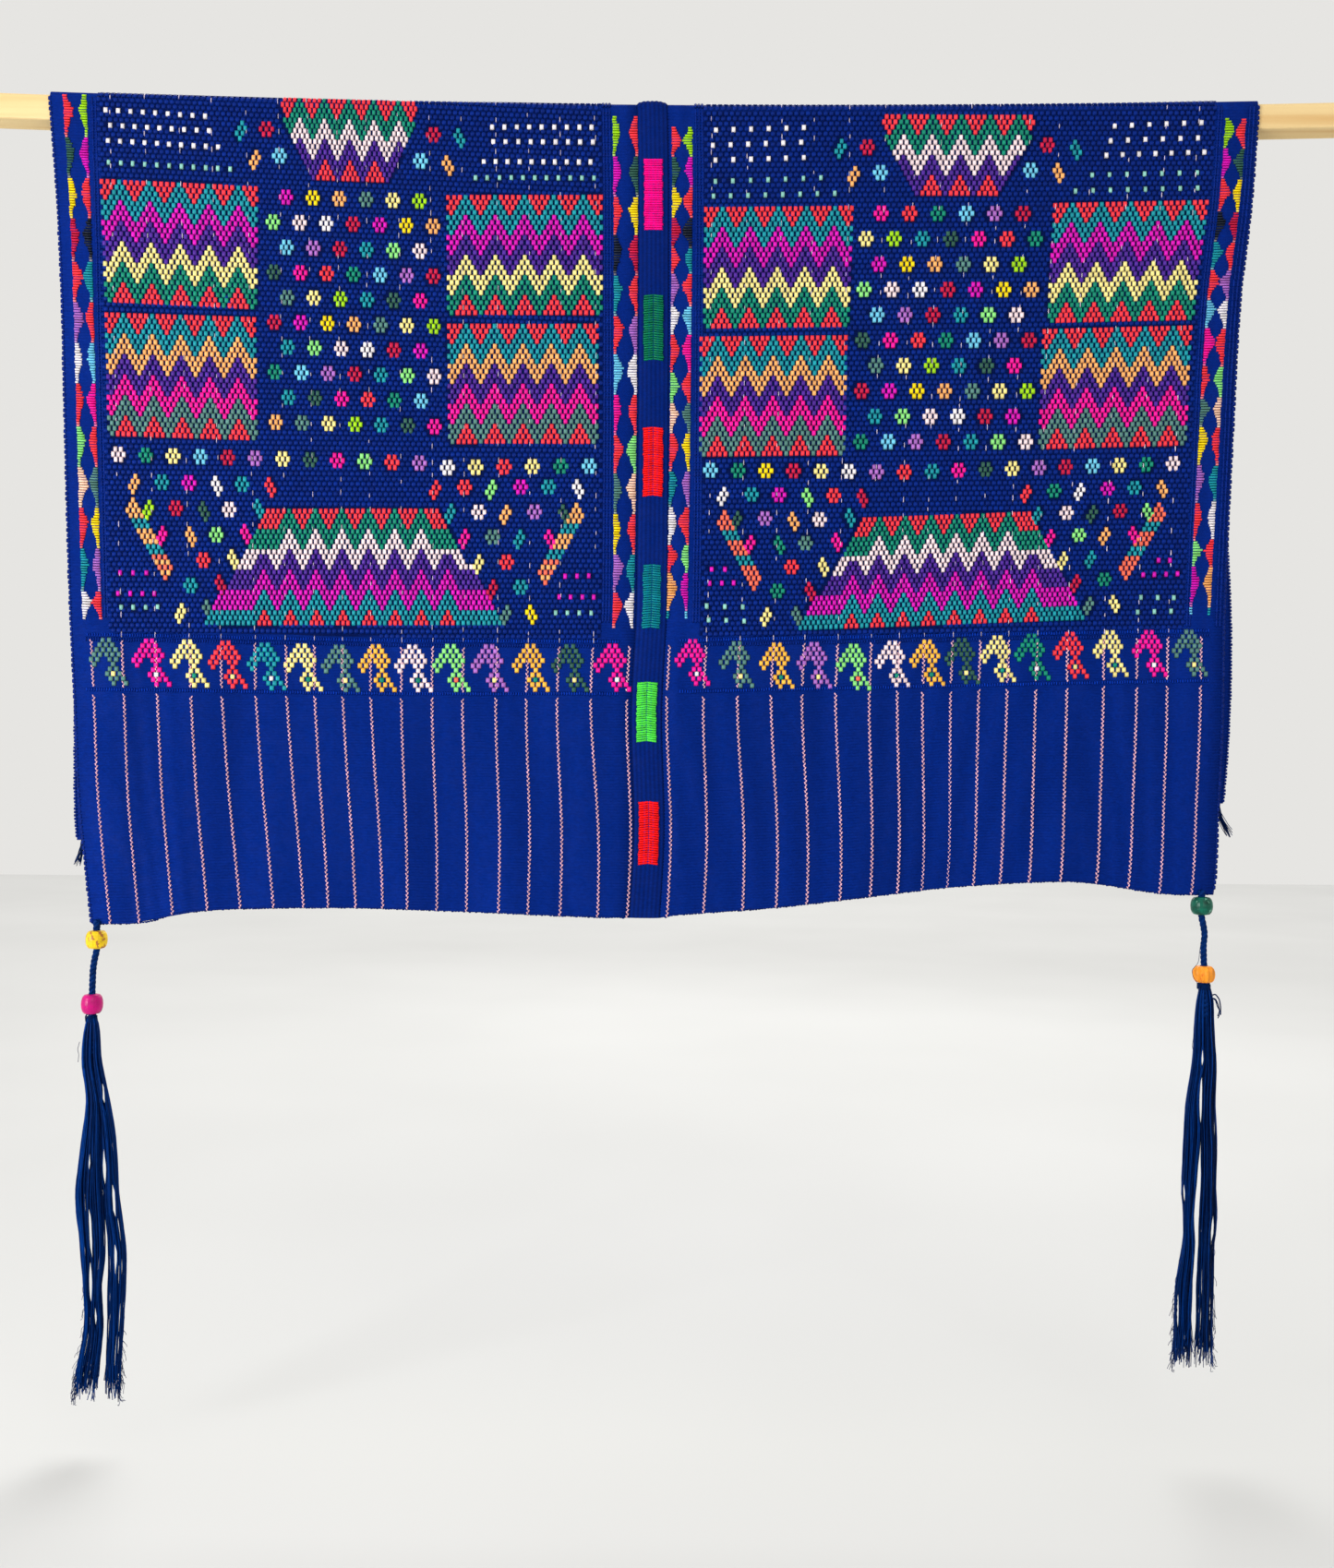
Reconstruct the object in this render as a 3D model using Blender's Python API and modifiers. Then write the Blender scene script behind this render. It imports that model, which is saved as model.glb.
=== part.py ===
"""A hand-woven cloth of two panels, hung over a square wooden rod.

Metres, +Z up.  The origin is the middle of the rod, on its centre line.
The cloth's face looks along -Y and its width runs along X.
"""

import math
from collections import namedtuple

import bmesh
import bpy
from mathutils import Vector

# Rod
ROD_LENGTH = 1.14
ROD_SIDE = 0.019
ROD_EDGE_RADIUS = 0.0015
ROD_EDGE_STEPS = 2
ROD_BOW = 0.0063          # how much lower the middle is than the cloth's edges
ROD_BOW_REACH = 0.45      # where that height is measured, from the middle
ROD_LEVEL_FROM = 0.52     # the ends are straight and level past this
ROD_STEPS = 24

# Cloth
CLOTH_THICKNESS = 0.0015
CLEARANCE = 0.002         # between the rod and the cloth
GAP = 0.0003              # between pieces that touch
JOIN_WIDTH = 0.021
JOIN_THICKNESS = 0.0026
HALF_WIDTH = 0.45         # turns a place across the cloth into -1 to 1
PANEL_COLUMNS = 16
JOIN_COLUMNS = 2
FRONT_ROWS = 22
BACK_ROWS = 18
CORNER_STEPS = 4
LOWEST_LEVEL = -0.60      # where the folds are deepest
STANDOFF = ROD_SIDE / 2 + CLEARANCE + CLOTH_THICKNESS / 2
SHARP_ANGLE = math.radians(40)

# Distance of each side edge from the middle, at levels below the rod's centre
Sides = namedtuple("Sides", "level front_left front_right back_left back_right")
SIDES = [
    Sides(-0.610, 0.4155, 0.4215, 0.4375, 0.4380),
    Sides(-0.560, 0.4215, 0.4260, 0.4375, 0.4380),
    Sides(-0.510, 0.4265, 0.4275, 0.4395, 0.4395),
    Sides(-0.450, 0.4295, 0.4295, 0.4400, 0.4435),
    Sides(-0.370, 0.4340, 0.4300, 0.4400, 0.4440),
    Sides(-0.250, 0.4385, 0.4345, 0.4410, 0.4380),
    Sides(-0.135, 0.4423, 0.4400, 0.4430, 0.4400),
    Sides(-0.060, 0.4465, 0.4480, 0.4460, 0.4470),
    Sides(0.000, 0.4515, 0.4520, 0.4515, 0.4520),
    Sides(0.020, 0.4530, 0.4530, 0.4530, 0.4530),
]

# The seam's own line: how far it wanders from the middle
Seam = namedtuple("Seam", "level x")
SEAM = [
    Seam(-0.610, -0.0030),
    Seam(-0.535, 0.0005),
    Seam(-0.445, -0.0020),
    Seam(-0.360, 0.0013),
    Seam(-0.060, 0.0003),
    Seam(0.020, -0.0015),
]

# Height of each hem, across the cloth from -1 at the left to 1 at the right
Hem = namedtuple("Hem", "across front back")
HEMS = [
    Hem(-1.00, -0.6068, -0.5460),
    Hem(-0.90, -0.6050, -0.5440),
    Hem(-0.84, -0.5985, -0.5430),
    Hem(-0.74, -0.5945, -0.5415),
    Hem(-0.53, -0.5933, -0.5400),
    Hem(-0.30, -0.5958, -0.5375),
    Hem(0.00, -0.5988, -0.5350),
    Hem(0.03, -0.5965, -0.5345),
    Hem(0.21, -0.5900, -0.5310),
    Hem(0.41, -0.5803, -0.5270),
    Hem(0.55, -0.5735, -0.5235),
    Hem(0.68, -0.5692, -0.5200),
    Hem(0.76, -0.5692, -0.5180),
    Hem(0.86, -0.5752, -0.5150),
    Hem(0.92, -0.5781, -0.5130),
    Hem(1.00, -0.5784, -0.5110),
]

# Soft folds: the place across the cloth where each starts and where it meets
# the hem, its half width, how far it stands behind (+) or before (-) the flat
# cloth at the hem, and the level where it starts
Fold = namedtuple("Fold", "start end half_width depth first_level")
FRONT_FOLDS = [
    Fold(-0.86, -0.80, 0.13, -0.0040, -0.25),
    Fold(-0.46, -0.36, 0.20, 0.0050, -0.30),
    Fold(-0.12, -0.10, 0.10, -0.0020, -0.35),
    Fold(0.16, 0.20, 0.14, -0.0045, -0.30),
    Fold(0.60, 0.51, 0.10, 0.0070, -0.38),
    Fold(0.72, 0.74, 0.13, -0.0065, -0.30),
    Fold(0.98, 0.97, 0.09, 0.0025, -0.35),
]
BACK_FOLDS = [
    Fold(-0.70, -0.74, 0.20, 0.0060, -0.20),
    Fold(-0.25, -0.22, 0.16, -0.0030, -0.25),
    Fold(0.30, 0.34, 0.20, 0.0060, -0.20),
    Fold(0.80, 0.76, 0.14, -0.0035, -0.25),
]

# Beads on the two tassel stems
Bead = namedtuple("Bead", "name x z width height ribs colour")
LEFT_BEADS = [
    Bead("bead_left_upper", -0.4120, -0.6182, 0.0156, 0.0136, 0, "yellow"),
    Bead("bead_left_lower", -0.4150, -0.6664, 0.0156, 0.0148, 0, "magenta"),
]
RIGHT_BEADS = [
    Bead("bead_right_upper", 0.4155, -0.5867, 0.0160, 0.0136, 0, "green"),
    Bead("bead_right_lower", 0.4175, -0.6380, 0.0162, 0.0126, 12, "orange"),
]
BEAD_STEPS = 24
STEPS_PER_RIB = 4
BEAD_PROFILE_STEPS = 8
BEAD_FULLNESS = 0.7       # below 1 the bead is squarer than a ball
BEAD_LIP = 0.0006         # flat ring round each end of the bore
RIB_DEPTH = 0.0004

# Tassel stems, from the corner of the cloth to the bound neck and the head
Stem = namedtuple("Stem", "x z radius")
LEFT_STEM = [
    Stem(-0.4120, -0.6080, 0.0025),
    Stem(-0.4120, -0.6262, 0.0025),
    Stem(-0.4132, -0.6320, 0.0024),
    Stem(-0.4144, -0.6402, 0.0024),
    Stem(-0.4148, -0.6500, 0.0024),
    Stem(-0.4150, -0.6580, 0.0025),
    Stem(-0.4150, -0.6742, 0.0025),
    Stem(-0.4150, -0.6744, 0.0036),
    Stem(-0.4148, -0.6850, 0.0038),
    Stem(-0.4148, -0.6930, 0.0058),
    Stem(-0.4148, -0.7020, 0.0072),
    Stem(-0.4144, -0.7060, 0.0074),
]
RIGHT_STEM = [
    Stem(0.4155, -0.5792, 0.0025),
    Stem(0.4155, -0.5945, 0.0025),
    Stem(0.4168, -0.6010, 0.0024),
    Stem(0.4178, -0.6081, 0.0024),
    Stem(0.4172, -0.6160, 0.0024),
    Stem(0.4172, -0.6230, 0.0024),
    Stem(0.4175, -0.6306, 0.0025),
    Stem(0.4175, -0.6447, 0.0025),
    Stem(0.4175, -0.6449, 0.0048),
    Stem(0.4175, -0.6530, 0.0048),
    Stem(0.4174, -0.6580, 0.0066),
    Stem(0.4174, -0.6660, 0.0074),
    Stem(0.4174, -0.6700, 0.0074),
]
STEM_RADIUS = 0.0025
TUBE_RESOLUTION = 3

# The locks of a tassel hang in two bundles, a and b: the side lines of each
# at a level, and the half depth of the whole tassel there
Locks = namedtuple("Locks", "level a_left a_right b_left b_right half_depth")
LEFT_LOCKS = [
    Locks(-0.9620, -0.4310, -0.4115, -0.4035, -0.3915, 0.0078),
    Locks(-0.9430, -0.4290, -0.4095, -0.4020, -0.3905, 0.0080),
    Locks(-0.9176, -0.4215, -0.4042, -0.4008, -0.3898, 0.0080),
    Locks(-0.8865, -0.4190, -0.4052, -0.4024, -0.3880, 0.0080),
    Locks(-0.8540, -0.4222, -0.4050, -0.4030, -0.3880, 0.0085),
    Locks(-0.8196, -0.4260, -0.4060, -0.4045, -0.3930, 0.0085),
    Locks(-0.7713, -0.4220, -0.4070, -0.4066, -0.3972, 0.0078),
    Locks(-0.7380, -0.4187, -0.4086, -0.4086, -0.4008, 0.0070),
    Locks(-0.7060, -0.4220, -0.4135, -0.4135, -0.4070, 0.0055),
    Locks(-0.6960, -0.4195, -0.4145, -0.4145, -0.4105, 0.0040),
]
RIGHT_LOCKS = [
    Locks(-0.9290, 0.3945, 0.4080, 0.4145, 0.4250, 0.0072),
    Locks(-0.9000, 0.3960, 0.4085, 0.4135, 0.4255, 0.0075),
    Locks(-0.8642, 0.3980, 0.4098, 0.4130, 0.4262, 0.0075),
    Locks(-0.8214, 0.4030, 0.4108, 0.4130, 0.4278, 0.0075),
    Locks(-0.7863, 0.4010, 0.4128, 0.4150, 0.4280, 0.0080),
    Locks(-0.7648, 0.4021, 0.4130, 0.4135, 0.4278, 0.0080),
    Locks(-0.7300, 0.4045, 0.4145, 0.4155, 0.4265, 0.0075),
    Locks(-0.7027, 0.4080, 0.4160, 0.4160, 0.4278, 0.0070),
    Locks(-0.6723, 0.4102, 0.4165, 0.4165, 0.4250, 0.0055),
    Locks(-0.6600, 0.4125, 0.4165, 0.4165, 0.4215, 0.0038),
]
A_COLUMNS = 3
B_COLUMNS = 2
DEPTH_ROWS = 3
LOCK_GAP = 0.0009
LOCK_WAVER = 0.00025
LOCK_STEPS = 12
END_SPREAD = 0.012        # the locks end at different levels within this
TAPER_SHARE = 0.15        # the last part of each lock narrows
TAPER = 0.35

# Frayed tufts at the back fall's two lower corners
Tuft = namedtuple("Tuft", "name x z lean length")
TUFTS = [
    Tuft("tuft_back_left", -0.4345, -0.5480, -0.0030, 0.017),
    Tuft("tuft_back_right", 0.4365, -0.5135, 0.0080, 0.023),
]
TUFT_RADIUS = 0.0022
TUFT_HEIGHT = 0.004
TUFT_STRANDS = 5
STRAND_RADIUS = 0.0005
STRAND_CIRCLE = 0.0014    # the strands leave the tuft's head on this circle
STRAND_LEVELS = (0.15, 0.3, 0.6, 1.0)

# Colours: red, green, blue, roughness
MATERIALS = {
    "wood": (0.86, 0.72, 0.47, 0.60),
    "blue_cotton": (0.005, 0.035, 0.26, 0.85),
    "join_cotton": (0.004, 0.045, 0.33, 0.80),
    "tassel_cotton": (0.003, 0.022, 0.16, 0.85),
    "yellow": (0.90, 0.65, 0.02, 0.40),
    "magenta": (0.70, 0.005, 0.25, 0.35),
    "green": (0.01, 0.13, 0.11, 0.45),
    "orange": (0.95, 0.35, 0.03, 0.40),
}


def clear_scene():
    for thing in list(bpy.data.objects):
        bpy.data.objects.remove(thing, do_unlink=True)


def new_collection(name):
    group = bpy.data.collections.new(name)
    bpy.context.scene.collection.children.link(group)
    return group


def make_material(name):
    red, green, blue, roughness = MATERIALS[name]
    material = bpy.data.materials.new(name)
    material.use_nodes = True
    shader = material.node_tree.nodes["Principled BSDF"]
    shader.inputs["Base Color"].default_value = (red, green, blue, 1.0)
    shader.inputs["Roughness"].default_value = roughness
    return material


def add_object(name, mesh, group, material):
    mesh.materials.clear()
    mesh.materials.append(material)
    thing = bpy.data.objects.new(name, mesh)
    group.objects.link(thing)
    return thing


def mesh_from_bmesh(name, bm):
    bmesh.ops.recalc_face_normals(bm, faces=bm.faces)
    mesh = bpy.data.meshes.new(name)
    bm.to_mesh(mesh)
    bm.free()
    return mesh


def slope_at(keys, values, place):
    """Slope of a smooth curve through the points, at one of them."""
    before = max(place - 1, 0)
    after = min(place + 1, len(keys) - 1)
    return (values[after] - values[before]) / (keys[after] - keys[before])


def read_table(rows, column, key):
    """A column's value at a key of the first column, on a smooth curve."""
    keys = [row[0] for row in rows]
    values = [getattr(row, column) for row in rows]
    key = min(max(key, keys[0]), keys[-1])
    place = 0
    while key > keys[place + 1]:
        place += 1
    span = keys[place + 1] - keys[place]
    share = (key - keys[place]) / span
    start = slope_at(keys, values, place) * span
    end = slope_at(keys, values, place + 1) * span
    rise = values[place + 1] - values[place]
    return values[place] + share * (start + share * (
        3 * rise - 2 * start - end + share * (start + end - 2 * rise)))


def smooth_step(share):
    share = min(max(share, 0.0), 1.0)
    return share * share * (3.0 - 2.0 * share)


def rod_height(x):
    """Height of the bowed rod's centre line."""
    reach = min(abs(x), ROD_LEVEL_FROM) / ROD_BOW_REACH
    return ROD_BOW * reach * reach


def make_rod(group, material):
    """A square rod with eased edges, bowed down in the middle."""
    bm = bmesh.new()
    bmesh.ops.create_cube(bm, size=1.0)
    bmesh.ops.scale(bm, vec=(ROD_LENGTH, ROD_SIDE, ROD_SIDE), verts=bm.verts)
    long_edges = [edge for edge in bm.edges if edge.calc_length() > ROD_LENGTH / 2]
    bmesh.ops.bevel(bm, geom=long_edges, offset=ROD_EDGE_RADIUS, segments=ROD_EDGE_STEPS,
                    profile=0.5, affect="EDGES")
    for cut in range(1, ROD_STEPS):
        place = Vector((ROD_LENGTH * (cut / ROD_STEPS - 0.5), 0, 0))
        everything = bm.verts[:] + bm.edges[:] + bm.faces[:]
        bmesh.ops.bisect_plane(bm, geom=everything, plane_co=place, plane_no=(1, 0, 0))
    for vert in bm.verts:
        vert.co.z += rod_height(vert.co.x)
    return add_object("rod", mesh_from_bmesh("rod", bm), group, material)


def fold_depth(folds, across, level):
    """How far the cloth stands behind its flat place."""
    depth = 0.0
    for fold in folds:
        share = smooth_step((level - fold.first_level) / (LOWEST_LEVEL - fold.first_level))
        centre = fold.start + share * (fold.end - fold.start)
        depth += fold.depth * share * math.exp(-((across - centre) / fold.half_width) ** 2)
    return depth


def drape_stations():
    """Rows of the cloth: the front fall from its hem, over the rod, the back fall."""
    rows = [("front", 1.0 - row / FRONT_ROWS) for row in range(FRONT_ROWS)]
    rows += [("front_corner", step / CORNER_STEPS) for step in range(CORNER_STEPS + 1)]
    rows += [("back_corner", step / CORNER_STEPS) for step in range(CORNER_STEPS + 1)]
    rows += [("back", (row + 1) / BACK_ROWS) for row in range(BACK_ROWS)]
    return rows


def panel_x(level, fall, side, share):
    """X of a point of a panel: share 0 at the seam, 1 at the outer edge."""
    column = fall + ("_left" if side < 0 else "_right")
    seam = read_table(SEAM, "x", level) + side * (JOIN_WIDTH / 2 + GAP)
    return seam + share * (side * read_table(SIDES, column, level) - seam)


def drape_point(find_x, across, station, proud=0.0):
    """A point of the hung cloth; proud lifts it off the cloth's middle surface."""
    kind, share = station
    centre = ROD_SIDE / 2 - ROD_EDGE_RADIUS
    facing = -1 if kind.startswith("front") else 1
    if kind.endswith("corner"):
        turn = share if facing < 0 else 1.0 - share
        radius = STANDOFF - centre + proud
        x = find_x(ROD_SIDE / 2, "front")
        return Vector((x, facing * (centre + radius * math.cos(turn * math.pi / 2)),
                       rod_height(x) + centre + radius * math.sin(turn * math.pi / 2)))
    first_z = rod_height(find_x(0.0, kind)) + centre
    level = first_z + share * (read_table(HEMS, kind, across) - first_z)
    folds = FRONT_FOLDS if kind == "front" else BACK_FOLDS
    depth = facing * (STANDOFF + proud) + fold_depth(folds, across, level)
    return Vector((find_x(level, kind), depth, level))


def make_sheet(name, columns, thickness, point_at, group, material):
    """A grid bent onto the drape, one row of points a station, then thickened."""
    stations = drape_stations()
    rows = len(stations) - 1
    bm = bmesh.new()
    bmesh.ops.create_grid(bm, x_segments=columns, y_segments=rows, size=1.0)
    for vert in bm.verts:
        column = (vert.co.x + 1.0) / 2.0
        row = round((vert.co.y + 1.0) / 2.0 * rows)
        vert.co = point_at(column, stations[row])
    thing = add_object(name, mesh_from_bmesh(name, bm), group, material)
    solidify = thing.modifiers.new("thickness", "SOLIDIFY")
    solidify.thickness = thickness
    solidify.offset = 0.0
    solidify.use_even_offset = True
    return thing


def make_panel(name, side, group, material):
    """One woven panel, from its front hem over the rod to its back hem."""
    def point_at(column, station):
        share = column if side > 0 else 1.0 - column

        def find_x(level, fall):
            return panel_x(level, fall, side, share)
        return drape_point(find_x, side * share, station)

    return make_sheet(name, PANEL_COLUMNS, CLOTH_THICKNESS, point_at, group, material)


def make_join(group, material):
    """The thick stitched seam that holds the two panels together."""
    lift = (JOIN_THICKNESS - CLOTH_THICKNESS) / 2

    def point_at(column, station):
        offset = (column - 0.5) * JOIN_WIDTH

        def find_x(level, fall):
            return read_table(SEAM, "x", level) + offset
        return drape_point(find_x, offset / HALF_WIDTH, station, lift)

    return make_sheet("join_strip", JOIN_COLUMNS, JOIN_THICKNESS, point_at, group, material)


def evaluated_mesh(thing, name):
    """The object's final mesh, its loose caps welded; the object is removed."""
    bpy.context.view_layer.update()
    graph = bpy.context.evaluated_depsgraph_get()
    mesh = bpy.data.meshes.new_from_object(thing.evaluated_get(graph))
    bm = bmesh.new()
    bm.from_mesh(mesh)
    bmesh.ops.remove_doubles(bm, verts=bm.verts, dist=0.00001)
    bpy.data.objects.remove(thing, do_unlink=True)
    return mesh_from_bmesh(name, bm)


def make_tube(name, rows, depth, group):
    """A round tube along rows of x, z and radius, with closed ends."""
    curve = bpy.data.curves.new(name, "CURVE")
    curve.dimensions = "3D"
    curve.bevel_depth = 1.0
    curve.bevel_resolution = TUBE_RESOLUTION
    curve.use_fill_caps = True
    spline = curve.splines.new("POLY")
    spline.points.add(len(rows) - 1)
    for point, row in zip(spline.points, rows):
        point.co = (row.x, depth, row.z, 1.0)
        point.radius = row.radius
    tube = bpy.data.objects.new(name, curve)
    group.objects.link(tube)
    return evaluated_mesh(tube, name)


def bead_profile(bead, bore):
    """Half section of a bored bead: down its outer side, then up its bore."""
    lip = bore + BEAD_LIP
    points = []
    for step in range(BEAD_PROFILE_STEPS + 1):
        turn = math.pi * (0.5 - step / BEAD_PROFILE_STEPS)
        bulge = max(math.cos(turn), 0.0) ** BEAD_FULLNESS
        points.append((lip + (bead.width / 2 - lip) * bulge, math.sin(turn) * bead.height / 2))
    bore_end = bead.height / 2 - BEAD_LIP / 2
    return points + [(bore, -bore_end), (bore, bore_end)]


def make_bead(bead, group, material, depth):
    """A bored round bead: a closed profile turned about Z, then ribbed."""
    bore = STEM_RADIUS + GAP
    bm = bmesh.new()
    ring = [bm.verts.new((radius, 0, z)) for radius, z in bead_profile(bead, bore)]
    for first, second in zip(ring, ring[1:] + ring[:1]):
        bm.edges.new((first, second))
    profile = bpy.data.meshes.new(bead.name)
    bm.to_mesh(profile)
    bm.free()
    turned = bpy.data.objects.new(bead.name, profile)
    group.objects.link(turned)
    steps = bead.ribs * STEPS_PER_RIB or BEAD_STEPS
    screw = turned.modifiers.new("turn", "SCREW")
    screw.axis = "Z"
    screw.steps = steps
    screw.render_steps = steps
    screw.use_merge_vertices = True
    screw.merge_threshold = 0.00001
    mesh = evaluated_mesh(turned, bead.name)
    for vert in mesh.vertices:
        radius = math.hypot(vert.co.x, vert.co.y)
        if bead.ribs and radius > bore + BEAD_LIP:
            angle = math.atan2(vert.co.y, vert.co.x)
            shrink = 1.0 - RIB_DEPTH / radius * (1.0 - math.cos(bead.ribs * angle))
            vert.co.x *= shrink
            vert.co.y *= shrink
    thing = add_object(bead.name, mesh, group, material)
    thing.location = (bead.x, depth, bead.z)
    return thing


def loft(bm, rings):
    """A closed tube through rings of corners."""
    for upper, lower in zip(rings, rings[1:]):
        for side in range(len(upper)):
            after = (side + 1) % len(upper)
            bm.faces.new((upper[side], upper[after], lower[after], lower[side]))
    bm.faces.new(rings[0])
    bm.faces.new(rings[-1][::-1])


def add_lock(bm, table, bundle, columns, column, row, number, depth):
    """One four-sided lock: a column across its bundle and a row in its depth."""
    first_level = table[-1].level
    end_level = table[0].level + END_SPREAD * (0.5 + 0.5 * math.sin(2.4 * number))
    rings = []
    for step in range(LOCK_STEPS + 1):
        share = step / LOCK_STEPS
        level = first_level + (end_level - first_level) * share
        left = read_table(table, bundle + "_left", level)
        pitch_x = (read_table(table, bundle + "_right", level) - left) / columns
        half_depth = read_table(table, "half_depth", level)
        pitch_y = 2 * half_depth / DEPTH_ROWS
        x = left + (column + 0.5) * pitch_x + LOCK_WAVER * math.sin(level * 90 + number * 1.7)
        y = (row + 0.5) * pitch_y - half_depth + LOCK_WAVER * math.cos(level * 80 + number * 2.3)
        taper = 1.0 - TAPER * smooth_step((share - 1.0 + TAPER_SHARE) / TAPER_SHARE)
        half_x = (pitch_x - LOCK_GAP) / 2 * taper
        half_y = (pitch_y - LOCK_GAP) / 2 * taper
        corners = ((-1, -1), (1, -1), (1, 1), (-1, 1))
        rings.append([bm.verts.new((x + half_x * sx, depth + y + half_y * sy, level))
                      for sx, sy in corners])
    loft(bm, rings)


def fuse(thing, name, bm, guides, material):
    """Joins the closed tubes in bm to the object by a union."""
    guide = add_object(name, mesh_from_bmesh(name, bm), guides, material)
    guide.hide_render = True
    guide.display_type = "WIRE"
    union = thing.modifiers.new(name, "BOOLEAN")
    union.operation = "UNION"
    union.solver = "EXACT"
    union.object = guide
    return thing


def make_tassel(name, stem_rows, lock_rows, depth, group, guides, material):
    """Stem, bound neck and head, with the locks' roots fused into the head."""
    stem = add_object(name, make_tube(name, stem_rows, depth, group), group, material)
    bm = bmesh.new()
    number = 0
    for bundle, columns in (("a", A_COLUMNS), ("b", B_COLUMNS)):
        for column in range(columns):
            for row in range(DEPTH_ROWS):
                add_lock(bm, lock_rows, bundle, columns, column, row, number, depth)
                number += 1
    return fuse(stem, name + "_locks", bm, guides, material)


def make_tuft(tuft, depth, group, guides, material):
    """A few short frayed threads under one corner of the back fall."""
    head_rows = [Stem(tuft.x, tuft.z, TUFT_RADIUS * 0.8),
                 Stem(tuft.x, tuft.z - TUFT_HEIGHT / 2, TUFT_RADIUS),
                 Stem(tuft.x, tuft.z - TUFT_HEIGHT, TUFT_RADIUS)]
    head = add_object(tuft.name, make_tube(tuft.name, head_rows, depth, group), group, material)
    bm = bmesh.new()
    for strand in range(TUFT_STRANDS):
        angle = 2 * math.pi * strand / TUFT_STRANDS
        reach = tuft.length * (0.78 + 0.22 * math.cos(strand * 2.6))
        rings = []
        for share in STRAND_LEVELS:
            circle = STRAND_CIRCLE * (1.0 + share)
            x = tuft.x + tuft.lean * share * share + circle * math.cos(angle)
            y = depth + circle * math.sin(angle)
            corners = [2 * math.pi * corner / 3 for corner in range(3)]
            rings.append([bm.verts.new((x + STRAND_RADIUS * math.cos(corner),
                                        y + STRAND_RADIUS * math.sin(corner),
                                        tuft.z - reach * share)) for corner in corners])
        loft(bm, rings)
    return fuse(head, tuft.name + "_strands", bm, guides, material)


def main():
    clear_scene()
    group = new_collection("woven_wall_tapestry")
    guides = new_collection("guides")
    materials = {name: make_material(name) for name in MATERIALS}
    make_panel("panel_left", -1, group, materials["blue_cotton"])
    make_panel("panel_right", 1, group, materials["blue_cotton"])
    make_join(group, materials["join_cotton"])
    sides = ((-1, "tassel_left", LEFT_STEM, LEFT_LOCKS, LEFT_BEADS),
             (1, "tassel_right", RIGHT_STEM, RIGHT_LOCKS, RIGHT_BEADS))
    for side, name, stem_rows, lock_rows, beads in sides:
        depth = fold_depth(FRONT_FOLDS, side, LOWEST_LEVEL) - STANDOFF
        make_tassel(name, stem_rows, lock_rows, depth, group, guides, materials["tassel_cotton"])
        for bead in beads:
            make_bead(bead, group, materials[bead.colour], depth)
    for tuft in TUFTS:
        depth = fold_depth(BACK_FOLDS, math.copysign(1, tuft.x), tuft.z) + STANDOFF
        make_tuft(tuft, depth, group, guides, materials["tassel_cotton"])
    for thing in group.objects:
        thing.data.shade_smooth()
        thing.data.set_sharp_from_angle(angle=SHARP_ANGLE)
    make_rod(group, materials["wood"])


main()
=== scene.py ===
"""A hand-woven brocade cloth of two panels, hung over a square wooden rod.

Metres, +Z up, the cloth's face along -Y.  The cloth, its stitches, the seam and
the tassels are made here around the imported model; the rod and beads are its own.
"""

import math
from collections import namedtuple

import bpy
import numpy as np
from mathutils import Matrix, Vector
from mathutils.kdtree import KDTree


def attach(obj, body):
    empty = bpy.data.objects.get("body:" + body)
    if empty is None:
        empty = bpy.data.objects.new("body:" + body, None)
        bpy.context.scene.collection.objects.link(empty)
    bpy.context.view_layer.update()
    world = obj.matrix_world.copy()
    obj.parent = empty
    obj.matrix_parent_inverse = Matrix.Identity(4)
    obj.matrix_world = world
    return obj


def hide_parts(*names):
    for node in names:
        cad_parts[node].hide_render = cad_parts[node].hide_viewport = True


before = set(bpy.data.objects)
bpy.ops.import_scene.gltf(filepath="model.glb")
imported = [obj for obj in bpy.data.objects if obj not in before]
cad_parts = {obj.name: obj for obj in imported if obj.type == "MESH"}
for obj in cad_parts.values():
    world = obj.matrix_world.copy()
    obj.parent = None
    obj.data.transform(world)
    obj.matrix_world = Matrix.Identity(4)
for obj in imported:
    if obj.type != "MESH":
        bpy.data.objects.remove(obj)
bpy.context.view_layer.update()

SEED = 7

# Camera and room
CAMERA_PLACE = (0.0138, -1.014, -0.4985)
CAMERA_ROLL = math.radians(-0.45)
CAMERA_LENS = 30.72
FLOOR_LEVEL = -1.0
FLOOR_HALF = 6.0
FLOOR_TONES = ((0.54, 0.54, 0.53), (0.57, 0.57, 0.56))
ROOM_LIGHT = (0.90, 0.89, 0.865, 1.0)
ROOM_STRENGTH = 0.88

# Each light's name, place, the place that it points at, size, power and spread in degrees
LIGHTS = (
    ("key", (-1.5, -1.25, -0.45), (0, 0, -0.42), 0.7, 11.6, 120.0),
    ("fill", (0.8, -2.0, 0.1), (0, 0, -0.4), 1.2, 10.0, 180.0),
    ("back", (0.3, 1.8, 0.8), (0, 0, -0.4), 1.6, 16.0, 180.0),
    ("far", (0.0, 4.5, 6.0), (0, 4.5, FLOOR_LEVEL), 5.0, 360.0, 180.0),
)

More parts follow.
